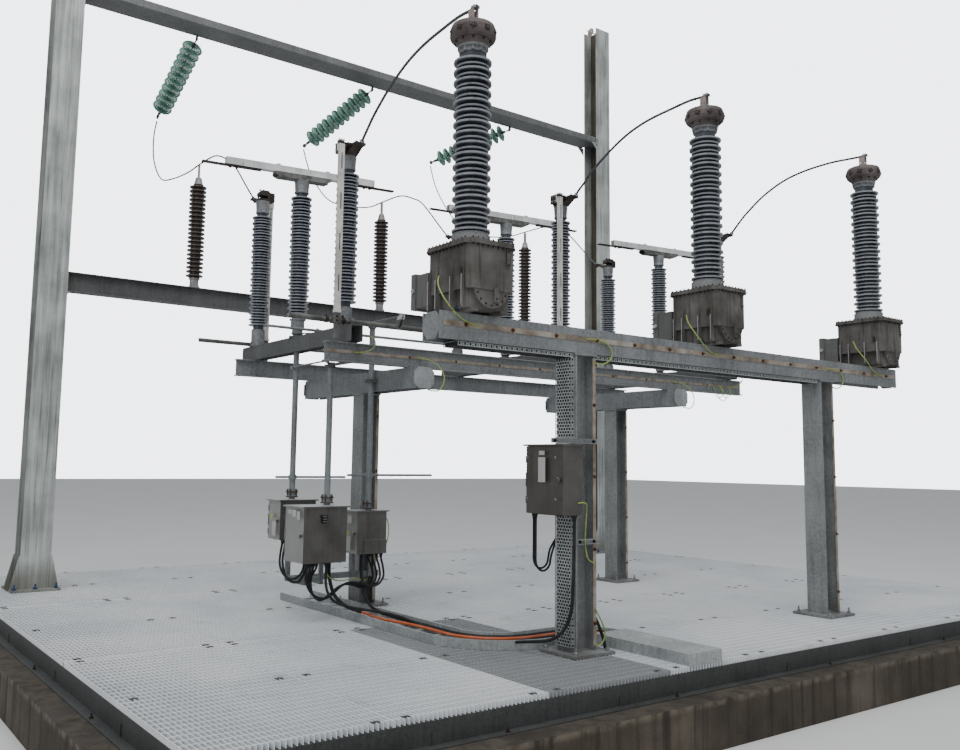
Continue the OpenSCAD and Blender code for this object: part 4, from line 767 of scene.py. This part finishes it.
ZINC = zinc("post_zinc", (0.275, 0.285, 0.285), 0.45, mud=0.5)
BEAM_ZINC = zinc("beam_zinc", (0.235, 0.245, 0.25), 0.5)
DARK_ZINC = zinc("mottled_zinc", (0.115, 0.118, 0.118), 0.75)
EDGE_ZINC = zinc("edge_zinc", (0.062, 0.065, 0.064), 0.7)
TRAY_ZINC = zinc("tray_zinc", (0.43, 0.45, 0.45), 0.3, metal=0.4)
PLATE_ZINC = zinc("plate_zinc", (0.36, 0.375, 0.38), 0.3)
FITTING = cast_iron()
NUT = nut_steel("zinc_nut", (0.32, 0.325, 0.325))
BLUE_NUT = nut_steel("blue_nut", (0.045, 0.08, 0.2))
DARK_NUT = nut_steel("dark_nut", (0.045, 0.035, 0.03))
RUSTY_NUT = nut_steel("rusty_nut", (0.15, 0.072, 0.036))
HEAD_CASTING = head_casting()

for finish, nodes in (
        (concrete(), "plinth"), (EDGE_ZINC, "deck_frame"),
        (gantry_zinc(), "gantry_column_left gantry_column_right"),
        (zinc("top_beam_zinc", (0.165, 0.17, 0.17), 0.9), "gantry_top_beam"),
        (arrester_porcelain(), "shield_wire_insulator surge_arresters"),
        (ZINC, "disconnector_posts ct_posts"),
        (BEAM_ZINC, "crossarms disconnector_beams cabinet_supports ct_beam"),
        (DARK_ZINC, "gantry_lower_beam switch_bases rotor_bearings earth_shaft_bearings pipe_guides"),
        (post_porcelain(), "contact_posts rotor_a rotor_b rotor_c"), (oxidised_jaw(), "contact_jaws"),
        *((blade_finish(i), "main_blade_" + letter) for i, letter in enumerate("abc")),
        (zinc("pipe_zinc", (0.23, 0.245, 0.255), 0.4, metal=0.4),
         "gang_rod drive_pipe_main motor_pipe motor_link earth_pipe_near earth_link"),
        (earthing_finish("near_earthing_bars", 1), "earth_switch_near"),
        (earthing_finish("far_earthing_bars", -1), "earth_switch_far"),
        (stainless("stainless_lit_side", (0.6, 0.6, 0.585)), "main_cabinet earth_cabinet manual_cabinet "
         "main_cabinet_door earth_cabinet_door manual_cabinet_door"),
        (stainless("aged_stainless", (0.075, 0.06, 0.048)), "junction_box junction_box_door"),
        (tank_casting(), "ct_tanks"), (transformer_porcelain(), "ct_insulators"), (HEAD_CASTING, "ct_heads"),
        (TRAY_ZINC, "riser_tray cable_ladder cable_tray_cover")):
    for node in nodes.split():
        for face_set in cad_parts[node].material_slots:
            face_set.material = finish

# Deck: serrated bearing bars and twisted cross rods, panel by panel

ROWS = (-4.42, -1.576, 1.498, 4.42)
COLUMN_EDGES = (-5.5, -4.222, -2.944, -1.666, -0.5553, 0.5553, 1.666, 2.944, 4.222, 5.5)
FOOTINGS = [(x, y, half) for places, y, half in (
    (COLUMNS, GANTRY_Y, 0.275), (FRAME_POSTS, FRAME_POST_Y, 0.215), (CT_POSTS, CT_Y, 0.225)) for x in places]
HALF_JOINT, HALF_BAR, HALF_ROD = 0.003, 0.0025, 0.003
BAR_FOOT = DECK - 0.04


def clear_spans(low, high, at, along):
    """The stretches of a bar between low and high that no footing interrupts."""
    spans = [(low, high)]
    for fx, fy, half in FOOTINGS:
        across, middle = (fx, fy) if along == "y" else (fy, fx)
        if abs(at - across) < half:
            start, end = middle - half, middle + half
            cut = [ends for a, b in spans for ends in ((a, min(b, start)), (max(a, end), b))]
            spans = [(a, b) for a, b in cut if b - a > 0.01]
    return spans


def grating():
    for r in range(3):
        bars = Shape()
        low = ROWS[r] + (HALF_JOINT if r else 0)
        high = ROWS[r + 1] - (HALF_JOINT if r < 2 else 0)
        for c in range(9):
            left = COLUMN_EDGES[c] + (HALF_JOINT if c else 0)
            right = COLUMN_EDGES[c + 1] - (HALF_JOINT if c < 8 else 0)
            count = round((right - left) / 0.036)
            for k in range(count + 1):
                x = left + HALF_BAR + (right - left - 2 * HALF_BAR) * k / count
                for a, b in clear_spans(low, high, x, "y"):
                    bars.box((x - HALF_BAR, a, BAR_FOOT), (x + HALF_BAR, b, DECK))
            for k in range(round((high - low) / 0.1)):
                y = low + 0.05 + 0.1 * k
                for a, b in clear_spans(left, right, y, "x"):
                    bars.box((a, y - HALF_ROD, DECK - 0.009), (b, y + HALF_ROD, DECK - 0.002))
            for y in (low + HALF_BAR, high - HALF_BAR):
                if ROWS[0] + 0.01 < y < ROWS[3] - 0.01:
                    for a, b in clear_spans(left, right, y, "x"):
                        bars.box((a, y - HALF_BAR, BAR_FOOT), (b, y + HALF_BAR, DECK - 0.001))
        row = bars.piece("grating_row_%d" % (r + 1), GRATING)
        if r == 0:
            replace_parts(row, "deck_grating")


GRATING = grating_zinc()
grating()


def grating_clips():
    """Saddle clips in pairs at the panels' corners and middles."""
    clips = Shape()
    for c, r in product(range(9), range(3)):
        for x, y in product((COLUMN_EDGES[c] + 0.11, COLUMN_EDGES[c + 1] - 0.11),
                            (ROWS[r] + 0.05, (ROWS[r] + ROWS[r + 1]) / 2, ROWS[r + 1] - 0.05)):
            if all(max(abs(x - fx), abs(y - fy)) > half + 0.05 for fx, fy, half in FOOTINGS):
                clips.block((x, y, DECK - 0.001), (0.062, 0.034, 0.004))
                clips.disc((x, y, DECK), 0.01, 0.004, sides=8)
    clips.piece("grating_clips", FITTING)


grating_clips()


def deck_edge_trim():
    """Joint covers and drilled anchors along the edge channel."""
    covers, anchors = Shape(), Shape()
    half_x, half_y = COLUMN_EDGES[-1], ROWS[-1]
    middle, foot = PLINTH_TOP + 0.012, PLINTH_TOP + 0.008
    for x, side in product((-5.2, -3.9, -2.2, -0.1, 2.0, 4.1), (-1, 1)):
        covers.block((x, side * (half_y + 0.002), middle), (0.085, 0.01, 0.145))
        anchors.bolt((x + 0.55, side * (half_y + 0.045), foot), UP, 0.012, 0.02)
    for y, side in product((-3.1, -1.3, 0.6, 2.6), (-1, 1)):
        covers.block((side * (half_x + 0.002), y, middle), (0.01, 0.085, 0.145))
        anchors.bolt((side * (half_x + 0.045), y + 0.5, foot), UP, 0.012, 0.02)
    covers.piece("edge_joint_covers", EDGE_ZINC)
    anchors.piece("edge_anchors", DARK_NUT)


deck_edge_trim()


# Bolts of base plates and flanges

def plate_bolts():
    nuts, blue = Shape(), Shape()
    base = DECK + 0.025
    for x in COLUMNS:
        blue.bolts((x, GANTRY_Y, base), UP, 0.021, 0.035, (-0.235, 0, 0.235), pair(0.235))
    for places, y, reach in ((FRAME_POSTS, FRAME_POST_Y, 0.175), (CT_POSTS, CT_Y, 0.185)):
        for x in places:
            nuts.bolts((x, y, base), UP, 0.019, 0.035, pair(reach), pair(reach))
    for x, y in product(FRAME_POSTS, (-1.285, 0.945)):
        nuts.bolts((x, y, 3.182), UP, 0.01, 0.012, pair(0.075), pair(0.032))
    for x, y in product(SWITCHES, (-1.285, 0.945)):
        nuts.bolts((x, y - 0.035, 3.358), DOWN, 0.009, 0.01, pair(0.04))
    nuts.piece("base_plate_nuts", NUT)
    blue.piece("gantry_anchor_nuts", BLUE_NUT)


plate_bolts()


def insulator_bolts():
    fixed = Shape()
    for x, y in product(SWITCHES, (NEAR_Y, FAR_Y)):
        for foot, top in zip(ring(x, y, 0.084, 4), ring(x, y, 0.07, 4)):
            fixed.bolt((*foot, BASE_TOP + 0.016), UP, 0.009, 0.008)
            fixed.bolt((*top, HEAD - 0.151), DOWN, 0.006, 0.006)
    for x in PHASES:
        for foot, top in zip(ring(x, CT_Y, 0.152, 8), ring(x, CT_Y, 0.12, 8)):
            fixed.bolt((*foot, 4.014), UP, 0.008, 0.008)
            fixed.bolt((*top, 5.612), DOWN, 0.006, 0.006)
        for foot in ring(x, ARRESTER_Y, 0.068, 4):
            fixed.bolt((*foot, 4.548), UP, 0.008, 0.01)
    fixed.piece("flange_bolts", NUT)


insulator_bolts()


def transformer_details():
    """Bolts, straps and slots of each tank, and the pockets, ribs and clamp of its head; the strap slots and
    head pockets are dark blocks that stand in as painted shade.
    """
    bolts, light, dark, blue, rib = Shape(), Shape(), Shape(), Shape(), Shape()
    lid, rim = 3.924, 3.884
    for x in PHASES:
        for k in range(9):
            along = x - 0.2 + 0.05 * k
            bolts.bolts((along, CT_Y, lid), UP, 0.008, 0.006, (0,), pair(0.3))
            bolts.bolt((along, CT_Y - 0.302, rim), DOWN, 0.008, 0.01)
        for k in range(11):
            along = CT_Y - 0.25 + 0.05 * k
            bolts.bolts((x, along, lid), UP, 0.008, 0.006, pair(0.24))
            bolts.bolt((x - 0.242, along, rim), DOWN, 0.008, 0.01)
        front = CT_Y - 0.2845
        for dx, z in ring(0, 3.558, 0.15, 16, 8)[:9]:
            bolts.bolt((x + dx, front, z), FRONT, 0.006, 0.004)
        light.box((x + 0.018, front - 0.01, 3.44), (x + 0.054, front, 3.555))
        bolts.bolt((x + 0.036, front - 0.01, 3.462), FRONT, 0.01, 0.008)
        strap = CT_Y - 0.2985
        light.box((x + 0.1365, strap - 0.004, 3.735), (x + 0.1685, strap, 3.875))
        # Painted shade: dark blocks on the strap stand in for its slots.
        for z in (3.765, 3.79, 3.815):
            dark.box((x + 0.146, strap - 0.0055, z), (x + 0.159, strap - 0.003, z + 0.014))
        for z in (3.748, 3.86):
            bolts.bolt((x + 0.1525, strap - 0.004, z), FRONT, 0.009, 0.008)
        dark.box((x - 0.2425, CT_Y - 0.205, 3.64), (x - 0.24, CT_Y - 0.175, 3.7))
        for y in (-0.235, -0.082, 0.12, 0.226):
            light.box((x - 0.266, CT_Y + y - 0.0035, 3.4), (x - 0.264, CT_Y + y + 0.0035, 3.64))
        bolts.bolts((x, CT_Y + 0.5215, 0), (0, 1, 0), 0.007, 0.004,
                    (-0.212, -0.071, 0.07), (0,), (3.468, 3.722))
        light.lathe([(0.014, 0), (0.014, 0.018), (0.02, 0.02), (0.02, 0.03)],
                    (x - 0.224, CT_Y + 0.48, 3.6), (-1, 0, 0), 12)
        blue.bolts((x, CT_Y, 3.382), UP, 0.013, 0.014, pair(0.2), pair(0.095))
        middle = Vector((x, CT_Y, 0))
        bulb = Vector((x, CT_Y, 5.745))
        for across in ring(0, 0, 1, 10):
            out = Vector((*across, 0))
            # Painted shade: dark blocks on the bulb stand in for its pockets.
            dark.lathe([(0.036, 0.17), (0.036, 0.194), (0.026, 0.199)], bulb, out, 4, 0.5)
            rib.lathe([(0.009, 0.198), (0.009, 0.204), (0.006, 0.206)], bulb, out, 6)
            dark.lathe([(0.01, 5.678), (0.01, 5.662), (0.007, 5.66)], middle + 0.148 * out, UP, 6)
            rib.lathe([(0.006, 5.572), (0.016, 5.576), (0.016, 5.622), (0.004, 5.63)],
                      middle + 0.11 * out, UP, 4)
        light.block((x, CT_Y - 0.026, 5.982), (0.062, 0.05, 0.022))
        bolts.bolts((x, CT_Y, 5.991), UP, 0.008, 0.01, (0,), (-0.04, -0.012))
    bolts.piece("transformer_bolts", DARK_NUT)
    light.piece("transformer_straps", TRAY_ZINC)
    dark.piece("transformer_pockets", DARK_NUT)
    blue.piece("rail_nuts", BLUE_NUT)
    rib.piece("head_ribs", HEAD_CASTING)


transformer_details()


# Copper earthing straps with their bolts

def straps():
    strap, bolts = Shape(), Shape()

    def row(start, end, pitch, put):
        while start < end:
            put(start)
            start += pitch

    for places, y, face, top in ((FRAME_POSTS, FRAME_POST_Y, 0.11, 2.9), (CT_POSTS, CT_Y, 0.1175, 3.1)):
        for x in places:
            side = x + face - 0.02
            strap.box((side - 0.018, y - face - 0.006, DECK + 0.06), (side + 0.018, y - face - 0.001, top))
            row(DECK + 0.25, top, 0.62, lambda z: bolts.bolt((side, y - face - 0.006, z), FRONT, 0.011, 0.01))
    low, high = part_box("ct_beam")
    z = low.z + 0.105
    strap.box((low.x + 0.03, low.y - 0.006, z), (high.x - 0.05, low.y - 0.001, z + 0.045))
    row(low.x + 0.25, high.x - 0.2, 0.48,
        lambda x: bolts.bolt((x, low.y - 0.006, z + 0.022), FRONT, 0.012, 0.01))
    low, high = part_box("disconnector_beams")
    strap.box((low.x + 0.02, low.y + 0.04, 3.262), (high.x - 0.05, low.y + 0.0455, 3.294))
    row(low.x + 0.4, high.x - 0.2, 0.61, lambda x: bolts.bolt((x, low.y + 0.04, 3.278), FRONT, 0.009, 0.008))
    strap.piece("earthing_straps", copper())
    bolts.piece("earthing_strap_bolts", RUSTY_NUT)


straps()


def slotted(shape, low, high, rows, cells):
    """A sheet between two corners, cut into staggered rows of slots along two of its axes."""
    bar = 0.009

    def share(axis, size):
        room = high[axis] - low[axis] - bar
        count = max(1, round(room / size))
        return count, room / count

    count, pitch = share(rows, 0.027)
    across, wide = share(cells, 0.031)
    for r in range(count + 1):
        a, b = list(low), list(high)
        a[rows] = low[rows] + r * pitch
        b[rows] = a[rows] + bar
        shape.box(a, b)
        if r == count:
            break
        a[rows], b[rows] = low[rows] + r * pitch + bar, low[rows] + (r + 1) * pitch
        start = low[cells] + 0.5 * wide * (r % 2)
        stops = [start + c * wide for c in range(across + 1 - r % 2)]
        for at in sorted({low[cells], high[cells] - bar, *stops}):
            a[cells], b[cells] = at, at + bar
            shape.box(a, b)


def riser():
    """The slotted cable channel up the post and under the beam."""
    tray, far, inside = Shape(), Shape(), Shape()
    face, back, near_side, far_side, sheet = -1.9775, -1.938, -3.615, -3.415, 0.003
    for low, high in ((0.645, 1.744), (2.348, 3.095)):
        slotted(tray, (face, near_side, low), (face + sheet, far_side, high), 2, 1)
        for y in (near_side, far_side - sheet):
            slotted(tray, (face, y, low), (back, y + sheet, high), 2, 0)
    for shape, left, right in ((tray, -3.19, -1.95), (far, -1.694, 1.744)):
        slotted(shape, (left, near_side, 3.131), (right, far_side, 3.134), 0, 1)
        for y in (near_side, far_side - sheet):
            slotted(shape, (left, y, 3.095), (right, y + sheet, 3.134), 0, 2)
    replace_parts(tray.piece("slotted_riser", TRAY_ZINC), "riser_tray")
    far.piece("slotted_run_under_beam", TRAY_ZINC)
    # Black cables fill the channel; they also stand in for the shade inside it, so the slots show dark.
    for k in range(6):
        y = -3.598 + 0.0325 * k
        for run in ([(-1.957, 0.64), (-1.957, 1.748)], [(-1.957, 2.329), (-1.957, 3.06), (-1.985, 3.108),
                    (-3.18, 3.112)], [(-1.69, 3.112), (1.74, 3.112)]):
            inside.tube([(x, y, z) for x, z in run], 0.0145, 8)
    inside.piece("riser_cables", BLACK, smooth=True)


riser()


def octagon(x, z, wide, tall, cut):
    corners = []
    for sx, sz in ((-1, -1), (1, -1), (1, 1), (-1, 1)):
        ends = [(x + sx * wide / 2, z + sz * (tall / 2 - cut)),
                (x + sx * (wide / 2 - cut), z + sz * tall / 2)]
        corners.extend(ends if sx * sz > 0 else ends[::-1])
    return corners


def frame_details():
    """End plates, brackets, clamp bolts and couplings of the frame and its drives."""
    plates, nuts, dark = Shape(), Shape(), Shape()
    low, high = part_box("crossarms")
    for x in FRAME_POSTS:
        outline = octagon(x, 3.0575, 0.25, 0.225, 0.052)
        plates.plate(outline, low.y - 0.008, low.y)
        plates.plate(outline, high.y, high.y + 0.008)
    for x, (y, side) in product(SWITCHES, ((NEAR_Y, -1), (FAR_Y, 1))):
        dark.bolts((x, y, 3.541), UP, 0.011, 0.014,
                   (0.052 * side, -0.052 * side), (0.07 * side, -0.01 * side))
        for dz in (0.03, 0.075):
            dark.bolts((x, y + side * 0.06, HEAD + dz), (0, side, 0), 0.01, 0.01, pair(0.035))
        dark.bolts((x, y, HEAD + 0.138), UP, 0.01, 0.012, (-0.038 * side, 0))
        for out in (0.205, 0.235):
            nuts.bolts((x, y + side * out, HEAD + 0.092), UP, 0.009, 0.01, pair(0.035))
        plates.lathe([(0.023, -0.02), (0.027, -0.016), (0.027, -0.006), (0.023, -0.002)],
                     (x, y + side * 0.285, HEAD + 0.102), (0, side * 0.72, 0.694), 14)
        nuts.bolts((x + side * 0.14, y, HEAD + 0.07), (side, 0, 0), 0.01, 0.012,
                   (0,), (0.05 * side, 0), pair(0.03))
    for z, left in ((2.352, -2.225), (1.5, -1.94)):
        right, back = -1.695, -3.64
        plates.box((left, back, z), (right, -3.635, z + 0.041))
        plates.box((left, -3.676, z + 0.038), (right, back, z + 0.041))
        plates.box((left, -3.676, z), (right, back, z + 0.003))
        for x in (left + 0.04, right - 0.04):
            dark.bolt((x, back, z + 0.02), FRONT, 0.01, 0.014)
    for x, side in zip(COLUMNS, (1, -1)):
        edge = x + side * 0.135
        for z, drop, y in ((8.262, 0.15, 2.706), (4.282, 0.11, 2.806), (8.262, 0.15, 3.092)):
            plates.plate([(edge, z), (edge + side * drop, z), (edge, z - drop)], y, y + 0.01)
            nuts.bolt((edge + side * 0.035, y, z - 0.035), FRONT, 0.014, 0.012)
        for dz in (0.035, 0.07):
            nuts.bolt((x + side * 0.16, 2.7025, 8.262 + dz), FRONT, 0.013, 0.012)
    for x in COLUMNS:
        nuts.bolts((x, GANTRY_Y - 0.15, 4.28), FRONT, 0.013, 0.01, pair(0.105), (0,), (0.055, 0.125, 0.195))
    x = CT_POSTS[1] + 0.1475
    plates.block((x, CT_Y + 0.02, 2.44), (0.06, 0.13, 0.15))
    plates.block((x, CT_Y + 0.02, 2.521), (0.072, 0.144, 0.01))
    plates.piece("end_plates", PLATE_ZINC)
    nuts.piece("clamp_bolts", NUT)
    dark.piece("housing_bolts", DARK_NUT)
    shaft_z = 3.58
    for body, side, shaft in (("earth_near", -1, -1.335), ("earth_far", 1, 1.105)):
        grips = Shape()
        for switch in SWITCHES:
            x = switch + side * 0.19
            grips.bolts((x, shaft + side * 0.106, shaft_z), (0, side, 0), 0.008, 0.012,
                        pair(0.03), (0,), pair(0.021))
            for dx in pair(0.095):
                grips.lathe([(0.025, -0.014), (0.036, -0.014), (0.036, 0.014), (0.025, 0.014)],
                            (x + dx, shaft, shaft_z), (1, 0, 0), 14)
                grips.bolt((x + dx, shaft, shaft_z + 0.034), UP, 0.009, 0.016)
        grips.piece(body + "_clamp_bolts", DARK_NUT, body)
    steel = nut_steel("coupling_steel", (0.09, 0.066, 0.048))
    for name, body, x, y, z in (("hand", "rotor_a", -2.87, -0.115, 1.775),
                                ("motor", "motor_pipe", -2.89, -0.965, 1.745),
                                ("earthing", "earth_pipe", -2.21, -0.645, 1.662)):
        coupling = Shape()
        for rise in (0, 0.052):
            coupling.lathe([(0.034, rise), (0.068, rise), (0.068, rise + 0.012), (0.034, rise + 0.012)],
                           (x, y, z), UP, 20)
        for at in ring(x, y, 0.053, 4):
            coupling.lathe([(0.007, 0), (0.007, 0.078)], (*at, z), UP, 8)
            coupling.bolt((*at, z + 0.064), UP, 0.011, 0.014)
        coupling.piece(name + "_coupling", steel, body)


frame_details()


def box_details():
    """Blank plates on the doors, the vent hood, and the screws and gland plates of the boxes."""
    paper = jacket("blank_plate", (0.5, 0.49, 0.47))
    yellow = jacket("blank_tag", (0.42, 0.5, 0.1))
    for name, door, face, finish, panels in (
            ("plates_on_", "main_door", -3.2923, paper, [
                (-1.17, -1.11, 1.6, 1.68), (-1.09, -1.0, 1.625, 1.69), (-0.98, -0.92, 1.65, 1.688)]),
            ("plates_on_", "manual_door", -3.1373, paper, [(-0.3, -0.215, 1.38, 1.53)]),
            ("tag_on_", "manual_door", -3.1373, yellow, [(-0.215, -0.155, 1.56, 1.605)]),
            ("plates_on_", "earth_door", -2.4123, paper, [
                (-0.625, -0.53, 1.215, 1.37), (-0.64, -0.56, 1.51, 1.59)]),
            ("tag_on_", "earth_door", -2.4123, yellow, [(-0.59, -0.53, 1.385, 1.425)]),
            ("plates_on_", "junction_door", -2.1948, paper, [
                (-3.53, -3.44, 2.02, 2.23), (-3.52, -3.45, 2.25, 2.285)])):
        plates = Shape()
        for y0, y1, z0, z1 in panels:
            plates.box((face - 0.0015, y0, z0), (face, y1, z1))
        plates.piece(name + door, finish, door)
    latches, black, screws = Shape(), Shape(), Shape()
    latches.bolts((-2.1948, 0, 0), (-1, 0, 0), 0.007, 0.006, (0,), (-3.66, -3.3), (1.88, 2.23))
    latches.piece("junction_door_screws", NUT, "junction_door")
    # The vent hood is a black block behind light slats: painted shade inside the vent.
    black.add([(-3.08, -1.195, 1.645), (-3.005, -1.195, 1.645), (-3.015, -1.195, 1.56),
               (-3.07, -1.195, 1.56), (-3.076, -1.222, 1.632), (-3.009, -1.222, 1.632),
               (-3.02, -1.206, 1.562), (-3.065, -1.206, 1.562)],
              [(0, 1, 2, 3), (7, 6, 5, 4), (0, 4, 5, 1), (1, 5, 6, 2), (2, 6, 7, 3), (3, 7, 4, 0)])
    for z in (1.575, 1.6, 1.625):
        screws.box((-3.06, -1.2235, z), (-3.025, -1.206, z + 0.006))
    for x0, x1, y0, y1, z in (
            (-3.21, -2.81, -1.165, -0.815, 1.167), (-2.33, -2.04, -0.675, -0.485, 1.174),
            (-3.055, -2.715, -0.3, -0.07, 1.327), (-2.1125, -1.9675, -3.685, -3.275, 1.742)):
        black.box((x0, y0, z), (x1, y1, z + 0.007))
        screws.bolts((0, 0, z), DOWN, 0.006, 0.006, (x0 + 0.015, x1 - 0.015), (y0 + 0.015, y1 - 0.015))
    black.piece("vent_and_gland_plates", BLACK)
    screws.piece("box_screws", NUT)


box_details()


# Strain strings: toughened glass shells, iron caps and pins, a clamp at each end

def strings():
    """Each bell opens towards the beam, with deep ribs round its pin and the iron cap behind it."""
    domes, ribs, iron = Shape(), Shape(), Shape()
    discs, pitch = 11, 0.127
    dome = [(0.036, 0.079), (0.062, 0.076), (0.088, 0.068), (0.116, 0.056), (0.14, 0.042), (0.15, 0.034),
            (0.146, 0.028), (0.134, 0.038), (0.1, 0.058), (0.06, 0.068), (0.036, 0.07)]
    ribbed = [(0.131, 0.04), (0.126, 0.018), (0.117, 0.045), (0.1, 0.047), (0.094, 0.021), (0.085, 0.049),
              (0.073, 0.05), (0.067, 0.022), (0.058, 0.052), (0.046, 0.052), (0.041, 0.028), (0.03, 0.054),
              (0.03, 0.062), (0.12, 0.046)]
    cap = [(0.04, 0.064), (0.046, 0.07), (0.047, 0.1), (0.041, 0.112), (0.028, 0.12), (0.014, 0.124)]
    pin = [(0.011, 0), (0.011, 0.05), (0.024, 0.053), (0.024, 0.066)]
    for hang, run in zip(STRING_HANG, STRING_RUN):
        start, axis = Vector(hang), Vector(run)
        length = axis.length
        axis.normalize()
        first = (length - discs * pitch) / 2
        iron.block(hang[:2] + (hang[2] + 0.01,), (0.016, 0.06, 0.07))
        iron.lathe([(0.011, 0), (0.011, first - 0.05)], start, axis, 10)
        iron.lathe([(0.018, first - 0.06), (0.026, first - 0.05), (0.026, first - 0.008),
                    (0.014, first + 0.01)], start, axis, 12)
        for k in range(discs):
            for shape, profile, sides in ((iron, pin, 10), (iron, cap, 16), (domes, dome, 32),
                                          (ribs, ribbed, 28)):
                shape.lathe([(r, first + pitch * k + h) for r, h in profile], start, axis, sides)
        end = first + discs * pitch
        iron.lathe([(0.024, end), (0.024, end + 0.06), (0.014, end + 0.07), (0.014, length - 0.045)],
                   start, axis, 12)
        tip = start + axis * (length - 0.02)
        across = axis.cross(Vector(UP)).normalized()
        iron.lathe([(0.034, -0.011), (0.034, 0.011)], tip, across, 20)
        for s in (-1, 1):
            iron.lathe([(0.012, 0.011), (0.012, 0.02)], tip + axis * 0.02 * s, across, 6)
    mint = glass("glass_mint", (0.42, 0.76, 0.64), (0.72, 0.95, 0.86))
    # The ribbed undersides get a darker copy of the same glass: painted shade under the bells.
    deep = glass("glass_shaded_ribs", (0.16, 0.4, 0.31), (0.5, 0.78, 0.66))
    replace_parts(domes.piece("glass_domes", mint, smooth=True), "strain_strings")
    ribs.piece("glass_ribs", deep, smooth=True)
    iron.piece("string_fittings", FITTING, smooth=True)


strings()

# Stage and light

floor_mesh = bpy.data.meshes.new("pale_floor")
floor_mesh.from_pydata([(-90, -90, 0), (90, -90, 0), (90, 90, 0), (-90, 90, 0)], [], [(0, 1, 2, 3)])
floor = place("pale_floor", floor_mesh)
floor_finish = Finish("floor_finish", Roughness=0.8)
floor_mesh.materials.append(floor_finish.feed(
    floor_finish.mix((0.7, 0.7, 0.69), (0.78, 0.78, 0.77), floor_finish.noise(0.5, 3.0))))


def soft_light(name, at, aim, size, power, tint):
    lamp = bpy.data.lights.new(name, "AREA")
    lamp.shape = "SQUARE"
    lamp.size = size
    lamp.energy = power
    lamp.color = tint
    made = place(name, lamp)
    made.location = at
    made.rotation_euler = (Vector(aim) - Vector(at)).to_track_quat("-Z", "Y").to_euler()


soft_light("overcast_top", (-6, -8, 22), (0, 0, 3), 18, 3300, (1.0, 1.0, 1.0))
soft_light("side_fill", (-20, -12, 10), (0, 0, 3), 14, 300, (0.95, 0.98, 1.0))
world = bpy.data.worlds.new("pale_sky")
bpy.context.scene.world = world
world.use_nodes = True
sky = world.node_tree
glow = sky.nodes["Background"]
glow.inputs[0].default_value = (0.88, 0.92, 0.96, 1)
glow.inputs[1].default_value = 0.55
haze = sky.nodes.new("ShaderNodeBackground")
haze.inputs[0].default_value = (0.92, 0.94, 1.0, 1)
haze.inputs[1].default_value = 4.6
seen = sky.nodes.new("ShaderNodeLightPath")
either = sky.nodes.new("ShaderNodeMixShader")
sky.links.new(seen.outputs["Is Camera Ray"], either.inputs[0])
sky.links.new(glow.outputs[0], either.inputs[1])
sky.links.new(haze.outputs[0], either.inputs[2])
sky.links.new(either.outputs[0], sky.nodes["World Output"].inputs[0])
